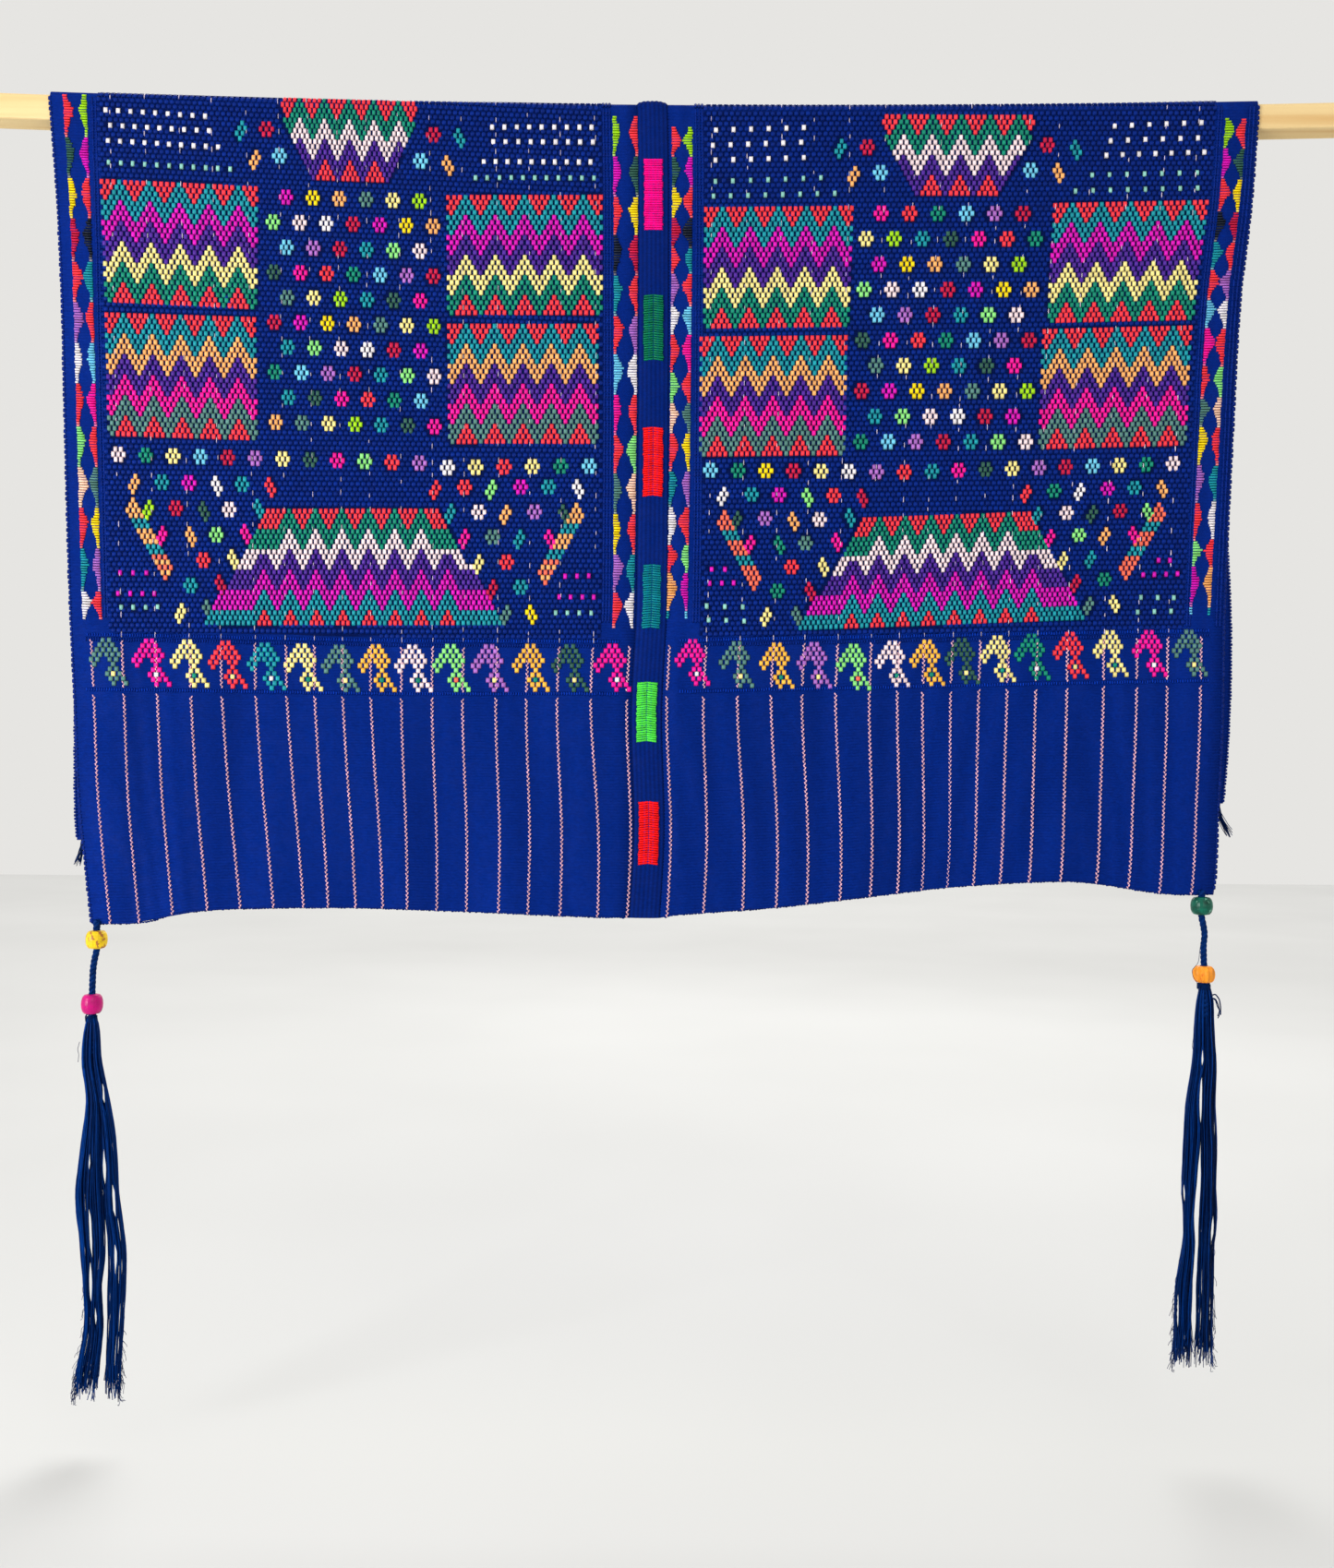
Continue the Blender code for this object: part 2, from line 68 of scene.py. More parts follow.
# Rod and cloth.  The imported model's cloth has the same outline but is thicker and stands farther out
ROD_SIDE = 0.019
ROD_EDGE_RADIUS = 0.0015
ROD_BOW = 0.0063
ROD_BOW_REACH = 0.45
ROD_LEVEL_FROM = 0.52
CORNER = ROD_SIDE / 2 - ROD_EDGE_RADIUS
STANDOFF = 0.0111         # from the rod's centre to the cloth's middle surface
PACKED_STANDOFF = 0.01225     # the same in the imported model, where its tassels and tufts hang
CLOTH_THICKNESS = 0.0012
FACE = CLOTH_THICKNESS / 2
JOIN_WIDTH = 0.021
GAP = 0.0003
LOWEST_LEVEL = -0.60
CORNER_ARC = (STANDOFF - CORNER) * math.pi / 2
TOP_LENGTH = 2 * CORNER_ARC + 2 * CORNER

SIDE_NAMES = {-1: "left", 1: "right"}

Sides = namedtuple("Sides", "level front_left front_right back_left back_right")
SIDES = [
    Sides(-0.610, 0.4155, 0.4215, 0.4375, 0.4380),
    Sides(-0.560, 0.4215, 0.4260, 0.4375, 0.4380),
    Sides(-0.510, 0.4265, 0.4275, 0.4395, 0.4395),
    Sides(-0.450, 0.4295, 0.4295, 0.4400, 0.4435),
    Sides(-0.370, 0.4340, 0.4300, 0.4400, 0.4440),
    Sides(-0.250, 0.4385, 0.4345, 0.4410, 0.4380),
    Sides(-0.135, 0.4423, 0.4400, 0.4430, 0.4400),
    Sides(-0.060, 0.4465, 0.4480, 0.4460, 0.4470),
    Sides(0.000, 0.4515, 0.4520, 0.4515, 0.4520),
    Sides(0.020, 0.4530, 0.4530, 0.4530, 0.4530),
]

Seam = namedtuple("Seam", "level x")
SEAM = [
    Seam(-0.610, -0.0030),
    Seam(-0.535, 0.0005),
    Seam(-0.445, -0.0020),
    Seam(-0.360, 0.0013),
    Seam(-0.060, 0.0003),
    Seam(0.020, -0.0015),
]

Hem = namedtuple("Hem", "across front back")
HEMS = [
    Hem(-1.00, -0.6068, -0.5460),
    Hem(-0.90, -0.6050, -0.5440),
    Hem(-0.84, -0.5985, -0.5430),
    Hem(-0.74, -0.5945, -0.5415),
    Hem(-0.53, -0.5933, -0.5400),
    Hem(-0.30, -0.5958, -0.5375),
    Hem(0.00, -0.5988, -0.5350),
    Hem(0.03, -0.5965, -0.5345),
    Hem(0.21, -0.5900, -0.5310),
    Hem(0.41, -0.5803, -0.5270),
    Hem(0.55, -0.5735, -0.5235),
    Hem(0.68, -0.5692, -0.5200),
    Hem(0.76, -0.5692, -0.5180),
    Hem(0.86, -0.5752, -0.5150),
    Hem(0.92, -0.5781, -0.5130),
    Hem(1.00, -0.5784, -0.5110),
]

Fold = namedtuple("Fold", "start end half_width depth first_level")
FRONT_FOLDS = [
    Fold(-0.86, -0.80, 0.13, -0.0040, -0.25),
    Fold(-0.46, -0.36, 0.20, 0.0050, -0.30),
    Fold(-0.12, -0.10, 0.10, -0.0020, -0.35),
    Fold(0.16, 0.20, 0.14, -0.0045, -0.30),
    Fold(0.60, 0.51, 0.10, 0.0070, -0.38),
    Fold(0.72, 0.74, 0.13, -0.0065, -0.30),
    Fold(0.98, 0.97, 0.09, 0.0025, -0.35),
]
BACK_FOLDS = [
    Fold(-0.70, -0.74, 0.20, 0.0060, -0.20),
    Fold(-0.25, -0.22, 0.16, -0.0030, -0.25),
    Fold(0.30, 0.34, 0.20, 0.0060, -0.20),
    Fold(0.80, 0.76, 0.14, -0.0035, -0.25),
]

Flare = namedtuple("Flare", "level share")
FLARES = [
    Flare(-0.200, 0.0),
    Flare(-0.140, 0.0),
    Flare(-0.040, 0.006),
    Flare(0.012, 0.012),
    Flare(0.030, 0.012),
]

# Weave
RIB = 0.0022
RIB_HEIGHT = 0.00022
PAINTED_SHADE_UNDER_STITCHES = 0.38     # painted shade: the cloth darkened under the brocade, so the gaps between stitches read dark
OVER_ROWS = 18            # rows of faces over the rod
PITCH = 0.0042
ROW = 0.0038
GROUND_SHARES = (0.066, 0.930)
PANEL_SHARES = np.concatenate([[0.0, 0.03, 0.060], np.linspace(0.064, 0.926, 15), [0.930, 0.965, 1.0]])
TILTS_ABOUT = {-1: -0.23, 1: 0.22}    # the x that each panel's weft lines tilt about
GROUND_TOP = 0.055
GROUND_ROWS = 125

# Stitches on the cloth: length, width and height, and how far apart they are
BRICK = (PITCH * 0.94, ROW * 0.66, 0.00062)
BRICK_REACH = PITCH * 0.62    # bricks this close to a coloured stitch are left out
BRICK_GAP = 0.0034            # between the lowest bricks and the line of floats over the birds
BORDER_RIB = (0.0068, 0.00105, 0.0007)
BORDER_RIB_STEP = 0.0052
BORDER_RIB_SHARES = {-1: (0.049, 0.0545, 0.060, 0.9335, 0.9385),
                     1: (0.049, 0.0545, 0.060, 0.9335, 0.9385, 0.9865, 0.9930)}
LINE_FLOAT = (0.0036, 0.0007, 0.0010)
LINE_FLOAT_STEP = 0.0019
STRIPE_BUMP = (0.0025, 0.00066, 0.0011)
STRIPE_BUMP_STEP = 0.0016
STRIPE_HALF = 0.00044         # from a stripe's middle to each of its two yarns
STRIPE_SLANT = 0.36
STRIPE_GAP = 0.0038           # between a stripe's top and the line of floats over the birds
STRIPE_BREAK = 0.0026         # half of its break at the line under the birds
STRIPE_REACH = 0.0016         # bumps this close to a coloured stitch are left out
BACK_BUMP = (0.0044, 0.0012, 0.0007)
BACK_BUMP_STEP = 0.0033
PALE_DASH_STEP = 0.0128
PALE_DASH_CHANCE = 0.70

# How weft lines tilt on each panel
Tilt = namedtuple("Tilt", "level left right")
TILTS = [
    Tilt(-0.430, 0.006, 0.024),
    Tilt(-0.260, 0.000, 0.020),
    Tilt(-0.160, -0.022, 0.024),
    Tilt(-0.060, -0.034, 0.014),
    Tilt(0.020, -0.030, 0.008),
]

# Lines of blue floats over and under the birds, as places (x, level) they pass
DASH_LINES = {
    -1: (((-0.425, -0.3903), (-0.190, -0.3930), (-0.020, -0.3925)),
         ((-0.425, -0.4311), (-0.190, -0.4325), (-0.020, -0.4314))),
    1: (((0.020, -0.3914), (0.246, -0.3853), (0.420, -0.3808)),
        ((0.020, -0.4296), (0.285, -0.4217), (0.420, -0.4180))),
}

# Pink warp stripes, as shares of each panel from the seam to its outer edge:
# each one's share under the brocade and at the front hem
STRIPES_FROM = -0.434     # above this level a stripe keeps its upper share
STRIPES = {
    -1: ((0.965, 0.965), (0.910, 0.910), (0.850, 0.845), (0.790, 0.780), (0.735, 0.720), (0.675, 0.660),
         (0.620, 0.605), (0.570, 0.560), (0.520, 0.510), (0.470, 0.460), (0.415, 0.415), (0.360, 0.360),
         (0.305, 0.305), (0.245, 0.245), (0.190, 0.190), (0.135, 0.130), (0.075, 0.060), (0.010, 0.005)),
    1: ((0.010, 0.015), (0.075, 0.080), (0.135, 0.150), (0.195, 0.210), (0.250, 0.265), (0.310, 0.325),
        (0.370, 0.380), (0.420, 0.430), (0.465, 0.475), (0.515, 0.520), (0.565, 0.565), (0.615, 0.610),
        (0.665, 0.660), (0.720, 0.715), (0.785, 0.780), (0.845, 0.840), (0.900, 0.900), (0.960, 0.960)),
}

YARNS = {
    "blue": (0, 35, 121),
    "tassel_blue": (0, 41, 104),
    "red": (255, 56, 70),
    "crimson": (204, 14, 68),
    "hot_pink": (255, 8, 158),
    "magenta": (220, 0, 184),
    "purple": (78, 34, 152),
    "lilac": (176, 108, 200),
    "light_blue": (112, 204, 238),
    "teal": (12, 150, 164),
    "green": (0, 140, 112),
    "light_green": (142, 232, 130),
    "lime": (162, 220, 16),
    "grey_green": (86, 134, 126),
    "dark_green": (46, 94, 80),
    "cream": (255, 238, 150),
    "yellow": (255, 224, 0),
    "orange": (255, 180, 106),
    "coral": (255, 112, 86),
    "pale_pink": (250, 226, 230),
    "white": (246, 240, 244),
    "mint": (140, 204, 190),
    "navy": (10, 24, 46),
    "peach": (255, 210, 184),
    "pink": (255, 194, 214),
    "pale_lilac": (240, 226, 246),
    "amber": (255, 190, 70),
    "seam_pink": (255, 0, 140),
    "seam_green": (0, 118, 82),
    "seam_red": (252, 20, 24),
    "seam_teal": (0, 128, 140),
    "seam_light_green": (84, 226, 76),
}


def linear(name):
    """A yarn's colour as scene-linear numbers."""
    part = np.array(YARNS[name]) / 255.0
    return np.where(part <= 0.04045, part / 12.92, ((part + 0.055) / 1.055) ** 2.4)


def uneven(rng, colours, low=0.86, high=1.10, count=None):
    """A colour for each stitch, a little lighter or darker; one colour can stand for count stitches."""
    if count is None:
        count = len(colours)
    return rng.uniform(low, high, (count, 1)) * colours


# Where the cloth lies


def read_table(rows, column, key):
    """A column's values at keys of the first column, on a smooth curve."""
    keys = np.array([row[0] for row in rows])
    values = np.array([getattr(row, column) for row in rows])
    after = np.minimum(np.arange(len(keys)) + 1, len(keys) - 1)
    before = np.maximum(np.arange(len(keys)) - 1, 0)
    slopes = (values[after] - values[before]) / (keys[after] - keys[before])
    key = np.clip(key, keys[0], keys[-1])
    place = np.clip(np.searchsorted(keys, key) - 1, 0, len(keys) - 2)
    span = keys[place + 1] - keys[place]
    share = (key - keys[place]) / span
    start, end = slopes[place] * span, slopes[place + 1] * span
    rise = values[place + 1] - values[place]
    return values[place] + share * (start + share * (
        3 * rise - 2 * start - end + share * (start + end - 2 * rise)))


def smooth_step(share):
    share = np.clip(share, 0.0, 1.0)
    return share * share * (3.0 - 2.0 * share)


def rod_height(x):
    reach = np.minimum(np.abs(x), ROD_LEVEL_FROM) / ROD_BOW_REACH
    return ROD_BOW * reach * reach


def fold_depth(folds, across, level):
    depth = 0.0
    for fold in folds:
        share = smooth_step((level - fold.first_level) / (LOWEST_LEVEL - fold.first_level))
        centre = fold.start + share * (fold.end - fold.start)
        depth = depth + fold.depth * share * np.exp(-((across - centre) / fold.half_width) ** 2)
    return depth


def panel_edges(level, side, fall="front"):
    """X of a panel's edge at the seam and of its outer edge."""
    seam = read_table(SEAM, "x", level) + side * (JOIN_WIDTH / 2 + GAP)
    return seam, side * read_table(SIDES, f"{fall}_{SIDE_NAMES[side]}", level)


def flare(level, side, share, fall):
    """How much the left panel's outer border spreads towards the rod."""
    if side > 0 or fall == "back":
        return 0.0
    return read_table(FLARES, "share", level) * np.minimum(share / 0.93, (1.0 - share) / 0.07)


def panel_x(level, side, share, fall="front"):
    seam, outer = panel_edges(level, side, fall)
    return seam + (share - flare(level, side, share, fall)) * (outer - seam)


def across_of(x, level, fall):
    """Where x stands across the whole cloth, from -1 to 1."""
    seam = read_table(SEAM, "x", level)
    left = read_table(SIDES, fall + "_left", level)
    right = read_table(SIDES, fall + "_right", level)
    return np.where(x < seam, (x - seam) / (left + seam), (x - seam) / (right - seam))


def surface(x, down, lift=0.0):
    """Points of the hung cloth.

    down is measured along it from the top of the front fall; below zero it runs
    over the rod and on down the back.
    """
    x, down = np.broadcast_arrays(np.asarray(x, float), np.asarray(down, float))
    top = rod_height(x) + CORNER
    radius = STANDOFF - CORNER + lift
    over = np.maximum(-down, 0.0)
    turn = np.clip(over / CORNER_ARC, 0, 1) * math.pi / 2
    back_turn = np.clip((over - CORNER_ARC - 2 * CORNER) / CORNER_ARC, 0, 1) * math.pi / 2
    along = np.clip(over - CORNER_ARC, 0, 2 * CORNER)
    y = along - CORNER - radius * (np.cos(turn) - np.sin(back_turn))
    fall = np.maximum(down, 0.0) + np.maximum(over - TOP_LENGTH, 0.0)
    z = top - fall + radius * np.where(back_turn > 0, np.cos(back_turn), np.sin(turn))
    front = fold_depth(FRONT_FOLDS, across_of(x, z, "front"), z)
    back = fold_depth(BACK_FOLDS, across_of(x, z, "back"), z)
    y = y + np.where(down > 0, front, np.where(over > TOP_LENGTH, back, 0.0))
    return np.stack([x, y, z], axis=-1)


def surface_frame(x, down, lift=0.0):
    """Points on the cloth with unit vectors to the right, down and outward."""
    step = 0.0004
    point = surface(x, down, lift)
    right = surface(x + step, down, lift) - surface(x - step, down, lift)
    downward = surface(x, down + step, lift) - surface(x, down - step, lift)
    right /= np.linalg.norm(right, axis=-1, keepdims=True)
    downward /= np.linalg.norm(downward, axis=-1, keepdims=True)
    outward = np.cross(right, -downward)
    outward /= np.linalg.norm(outward, axis=-1, keepdims=True)
    return point, right, downward, outward


def down_at(x, level, fall="front"):
    """How far along the cloth a level of a fall lies, counted as surface() counts it."""
    down = rod_height(x) + CORNER - level
    return down if fall == "front" else -TOP_LENGTH - down


def dash_level(side, number, x):
    places, levels = zip(*DASH_LINES[side][number])
    return np.interp(x, places, levels)


# Meshes


def add_object(name, data):
    thing = bpy.data.objects.new(name, data)
    bpy.context.scene.collection.objects.link(thing)
    return thing


def new_mesh(name, points, faces, material, colours):
    """A smooth object from arrays of points and lists of faces, with a colour a point."""
    mesh = bpy.data.meshes.new(name)
    mesh.from_pydata(np.asarray(points, float).tolist(), [], [list(face) for face in faces])
    mesh.validate()
    # The colours carry the painted shade and painted highlights of stamped stitches and of the cloth.
    layer = mesh.color_attributes.new(name="yarn", type="FLOAT_COLOR", domain="POINT")
    flat = np.concatenate([colours, np.ones((len(colours), 1))], axis=1)
    layer.data.foreach_set("color", flat.astype(np.float32).ravel())
    mesh.shade_smooth()
    mesh.materials.append(material)
    thing = add_object(name, mesh)
    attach(thing, "root")
    return thing


def skin(numbers):
    """The corners of the faces round a stack of closed rings, given as rows of point numbers."""
    around = np.roll(numbers, -1, axis=1)
    return numbers[:-1].ravel(), around[:-1].ravel(), around[1:].ravel(), numbers[1:].ravel()


class Template:
    """A small closed shape that is stamped many times along, across and outward."""

    def __init__(self, section, flat, tips=None):
        """section: (across, outward) corners held from -flat to flat of the length.

        Its ends slope down to an edge as wide as the section, or to a point where
        tips gives how far from the middle that is.
        """
        corners = len(section)
        points = [(place, across, outward) for place in (-flat, flat) for across, outward in section]
        faces = []
        for side in range(corners):
            after = (side + 1) % corners
            faces += [(side, after, corners + after), (side, corners + after, corners + side)]
        for ring, place in ((0, -0.5), (corners, 0.5)):
            first = len(points)
            if tips is not None:
                points.append((math.copysign(tips, place), 0.0, 0.0))
                faces += [(ring + side, ring + (side + 1) % corners, first) for side in range(corners)]
                continue
            points += [(place, section[0][0], section[0][1]), (place, section[-1][0], section[-1][1])]
            middle = corners // 2
            faces += [(first, ring + side, ring + side + 1) for side in range(middle)]
            faces += [(first, ring + middle, first + 1)]
            faces += [(first + 1, ring + side, ring + side + 1) for side in range(middle, corners - 1)]
            faces += [(first, first + 1, ring + corners - 1), (first, ring + corners - 1, ring)]
        self.points = np.array(points)
        # The share of full colour that each point keeps under the painted shade: none at the low ends and
        # tips, 0.6 on the low sides, its height on top.
        low_sides = (self.points[:, 2] <= 0) & (np.abs(self.points[:, 0]) <= flat + 1e-9)
        self.painted_light_share = np.where(low_sides, 0.6, np.maximum(self.points[:, 2], 0.0))
        centre = self.points.mean(axis=0)
        turned = []
        for a, b, c in faces:
            normal = np.cross(self.points[b] - self.points[a], self.points[c] - self.points[a])
            outward = normal @ (self.points[[a, b, c]].mean(axis=0) - centre) > 0
            turned.append((a, b, c) if outward else (a, c, b))
        self.faces = np.array(turned)

    def stamp(self, centre, along, across, outward):
        """Points and faces of one copy for each centre; vectors carry the sizes."""
        t = self.points
        points = (centre[:, None] + along[:, None] * t[None, :, 0:1]
                  + across[:, None] * t[None, :, 1:2] + outward[:, None] * t[None, :, 2:3])
        handed = np.cross(along[0], across[0]) @ outward[0] > 0
        faces = (self.faces if handed else self.faces[:, ::-1])[None]
        faces = faces + (np.arange(len(centre)) * len(t))[:, None, None]
        return points.reshape(-1, 3), faces.reshape(-1, 3)

    def colour(self, colours, dark=0.3, light=0.008):
        """Painted shade low down and a painted highlight on top: the colour darkens towards the low ends and
        sides and pales a little towards white on top.
        """
        share = self.painted_light_share[None, :, None]
        base = colours[:, None, :]
        return (base * (dark + (1 - dark) * share) + light * share * share * (1 - base)).reshape(-1, 3)


ROUND_SECTION = ((-1.0, -0.1), (-0.55, 0.82), (0.0, 1.0), (0.55, 0.82), (1.0, -0.1))
ROOF_SECTION = ((-1.0, -0.1), (0.0, 1.0), (1.0, -0.1))
STITCH = Template(ROUND_SECTION, 0.33)
FLOAT = Template(ROOF_SECTION, 0.42)
LOW_STITCH = Template(ROOF_SECTION, 0.32, tips=0.5)
BUMP = Template(ROOF_SECTION, 0.24, tips=0.5)
SEED_SHAPE = Template(ROOF_SECTION, 0.12, tips=0.5)


class Batch:
    """Stamped copies gathered into one mesh."""

    def __init__(self):
        self.points, self.faces, self.colours, self.count = [], [], [], 0

    def add(self, template, centre, along, across, outward, colours, **shade):
        if not len(centre):
            return
        points, faces = template.stamp(centre, along, across, outward)
        self.points.append(points)
        self.faces.append(faces + self.count)
        self.colours.append(template.colour(colours, **shade))
        self.count += len(points)

    def add_mesh(self, points, faces, colours):
        self.points.append(np.asarray(points))
        self.faces.append(np.asarray(faces) + self.count)
        self.colours.append(np.asarray(colours))
        self.count += len(points)

    def sew(self, template, x, down, size, colours, upright=False, lean=0.0, lift=FACE, **shade):
        """Copies of a template on the cloth, size being their length, width and height.

        The length runs across, or down where upright, and leans over by a share of it.
        """
        point, right, downward, outward = surface_frame(x, down, lift)
        along, across = (downward, right) if upright else (right, downward)
        self.add(template, point, (along + lean * across) * size[0], across * size[1],
                 outward * size[2], colours, **shade)

    def build(self, name, material):
        return new_mesh(name, np.concatenate(self.points), np.concatenate(self.faces),
                        material, np.concatenate(self.colours))


# Materials


class Look:
    """A material being made, with its nodes and its shader."""

    def __init__(self, name, roughness, specular=0.5):
        self.material = bpy.data.materials.new(name)
        self.material.use_nodes = True
        self.tree = self.material.node_tree
        self.shader = self.tree.nodes["Principled BSDF"]
        self.set(self.shader, {"Roughness": roughness, "Specular IOR Level": specular})

    def set(self, node, inputs):
        """Inputs of a node, each linked to a socket or held at a value."""
        for name, value in inputs.items():
            socket = node.inputs[name]
            if isinstance(value, bpy.types.NodeSocket):
                self.tree.links.new(value, socket)
            else:
                socket.default_value = (*value, 1.0) if socket.type == "RGBA" else value

    def node(self, kind, inputs, output, **settings):
        """An output of a new node."""
        made = self.tree.nodes.new(kind)
        for name, value in settings.items():
            setattr(made, name, value)
        self.set(made, inputs)
        return made.outputs[output]

    def coordinates(self, scale):
        place = self.node("ShaderNodeTexCoord", {}, "Object")
        return self.node("ShaderNodeMapping", {"Vector": place, "Scale": scale}, "Vector")

    def noise(self, scale, detail=2.0, stretch=(1, 1, 1)):
        inputs = {"Vector": self.coordinates(stretch), "Scale": scale, "Detail": detail}
        return self.node("ShaderNodeTexNoise", inputs, "Fac")

    def carried(self):
        """The colour that each point of the mesh carries."""
        return self.node("ShaderNodeAttribute", {}, "Color", attribute_name="yarn")

    def ramp(self, value, low, high, from_low=0.3, from_high=0.7):
        """A value mapped from one range to another."""
        inputs = {"Value": value, "From Min": from_low, "From Max": from_high, "To Min": low, "To Max": high}
        return self.node("ShaderNodeMapRange", inputs, "Result")

    def mixed(self, factor, first, second, blend="MIX"):
        """A mix of two colours."""
        inputs = {0: factor, 6: first, 7: second}
        return self.node("ShaderNodeMix", inputs, 2, data_type="RGBA", blend_type=blend)

    def bump(self, height, distance, strength, **normal):
        inputs = {"Height": height, "Distance": distance, "Strength": strength, **normal}
        return self.node("ShaderNodeBump", inputs, "Normal")

    def finish(self, colour, **inputs):
        self.set(self.shader, {"Base Color": colour, **inputs})
        return self.material


def yarn_material(name, roughness, specular):
    """Cotton yarn in the colours that the mesh carries, painted shade and highlights included where a mesh
    has them.
    """
    look = Look(name, roughness, specular)
    mottled = look.ramp(look.noise(260.0, 3.0), 0.80, 1.12)
    toned = look.node("ShaderNodeVectorMath", {0: look.carried(), "Scale": mottled}, "Vector",
                      operation="SCALE")
    return look.finish(toned, Roughness=look.ramp(look.noise(500.0), roughness - 0.1, roughness + 0.15),
                       Normal=look.bump(look.noise(900.0, 2.0, (0.35, 1.0, 1.0)), 0.0002, 0.6))


def cloth_material(name, ribs):
    """Plain weave in blue cotton, unevenly dyed, with weft ribs of a height, multiplied by the painted shade
    that the mesh carries.
    """
    look = Look(name, 0.8, 0.05)
    base = tuple(linear("blue"))
    deep = tuple(part * 0.45 for part in base)
    warm = tuple(part * 1.35 + 0.001 for part in base)
    patches = look.ramp(look.noise(9.0, 3.0, (1, 1, 0.5)), 0.0, 1.0)
    threads = look.ramp(look.noise(55.0, 2.0, (1.0, 1.0, 0.03)), 0.0, 1.0)
    grain = look.ramp(look.noise(700.0, 2.0, (0.5, 1.0, 1.0)), 0.0, 0.4)
    body = look.mixed(look.ramp(patches, 0.15, 0.6, 0.0, 1.0), base, warm)
    body = look.mixed(look.ramp(threads, 0.0, 0.35, 0.0, 1.0), body, deep)
    body = look.mixed(grain, body, deep)
    coordinates = look.coordinates((60.0, 60.0, 2 * math.pi / RIB / 20.0))
    wave = {"Vector": coordinates, "Scale": 1.0, "Distortion": 1.2, "Detail": 2.0}
    weft = look.node("ShaderNodeTexWave", wave, "Fac", wave_type="BANDS", bands_direction="Z")
    warp = look.noise(900.0, 2.0, (1.0, 1.0, 0.25))
    return look.finish(look.mixed(1.0, body, look.carried(), "MULTIPLY"),
                       Roughness=look.ramp(look.noise(120.0), 0.65, 0.9),
                       Normal=look.bump(warp, 0.0003, 0.5, Normal=look.bump(weft, ribs, 0.7)))


def wood_material():
    """Planed pale pine with fine straight grain and a few darker streaks."""
    look = Look("pale_pine", 0.55, 0.3)
    grain = look.noise(60.0, 4.0, (0.05, 1.0, 1.0))
    fine = look.noise(260.0, 3.0, (0.02, 1.0, 1.0))
    wide = look.noise(14.0, 2.0, (0.08, 1.0, 1.0))
    streak = look.noise(90.0, 2.0, (0.03, 1.0, 1.0))
    pores = look.noise(500.0, 2.0, (0.04, 1.0, 1.0))
    body = look.mixed(look.ramp(grain, 0.0, 0.8), (0.84, 0.64, 0.31), (0.68, 0.44, 0.17))
    body = look.mixed(look.ramp(fine, 0.0, 0.35), body, (0.60, 0.38, 0.14))
    body = look.mixed(look.ramp(wide, 0.0, 0.5), body, (0.88, 0.71, 0.40))
    body = look.mixed(look.ramp(streak, 0.0, 0.6, 0.60, 0.72), body, (0.60, 0.34, 0.11))
    return look.finish(body, Roughness=look.ramp(grain, 0.5, 0.68), Normal=look.bump(pores, 0.0003, 0.4))


def bead_material(name, paint, under, wear, roughness, deep):
    """Painted wood; wear is the share of it where the wood or pale specks show."""
    look = Look(name, roughness, 0.2)
    look.set(look.shader, {"Coat Weight": 0.08, "Coat Roughness": 0.2})
    bare = look.noise(330.0, 4.0, (1.0, 1.0, 0.6))
    chips = look.ramp(bare, 0.0, 1.0, 0.66 - wear * 0.3, 0.70 - wear * 0.3)
    tone = look.ramp(look.noise(150.0, 3.0), 0.0, 1.0)
    body = look.mixed(chips, look.mixed(tone, paint, tuple(part * deep for part in paint)), under)
    return look.finish(body, Roughness=look.ramp(look.noise(300.0), roughness - 0.1, roughness + 0.2),
                       Normal=look.bump(look.noise(200.0, 3.0), 0.0004, 0.35))


# The beads' materials: name, paint, what shows where it is worn, wear, roughness and deeper tone
BEAD_LOOKS = {
    "bead_left_upper": ("yellow_paint", (1.0, 0.66, 0.01), (0.42, 0.16, 0.03), 0.32, 0.4, 0.6),
    "bead_left_lower": ("magenta_paint", (0.64, 0.0, 0.20), (0.30, 0.0, 0.10), 0.0, 0.3, 0.5),
    "bead_right_upper": ("green_paint", (0.0, 0.14, 0.085), (0.12, 0.32, 0.22), 0.1, 0.35, 0.2),
    "bead_right_lower": ("orange_paint", (1.0, 0.34, 0.02), (0.72, 0.16, 0.01), 0.2, 0.4, 0.6),
}


# Panels


def panel_rows(side, shares):
    """X, down, lift and shade of every point of a panel, a row at a time from the front hem."""
    guess = panel_x(-0.3, side, shares)
    over_birds = dash_level(side, 0, guess)
    top = rod_height(guess) + CORNER
    stitched = (shares > GROUND_SHARES[0] - 0.004) & (shares < GROUND_SHARES[1] - 0.002)
    rows = []

    def ribbed(first, last, fall):
        count = int(round(np.mean(np.abs(first - last)) * 2 / RIB))
        for step in range(count):
            level = first + (last - first) * step / count
            x = panel_x(level, side, shares, fall)
            # Painted shade: the cloth under the brocade is darkened so the gaps between stitches read dark.
            under = stitched & (level > over_birds + 0.003) & (fall == "front")
            shade = np.where(under, PAINTED_SHADE_UNDER_STITCHES, 1.0)
            rows.append((x, down_at(x, level, fall), RIB_HEIGHT * (-1) ** len(rows), shade))

    ribbed(read_table(HEMS, "front", side * shares), top - 0.002, "front")
    x = panel_x(ROD_SIDE / 2, side, shares)
    for step in range(OVER_ROWS + 1):
        rows.append((x, np.full_like(x, -TOP_LENGTH * step / OVER_ROWS), 0.0, np.ones(len(x))))
    ribbed(top - 0.002, read_table(HEMS, "back", side * shares), "back")
    return rows


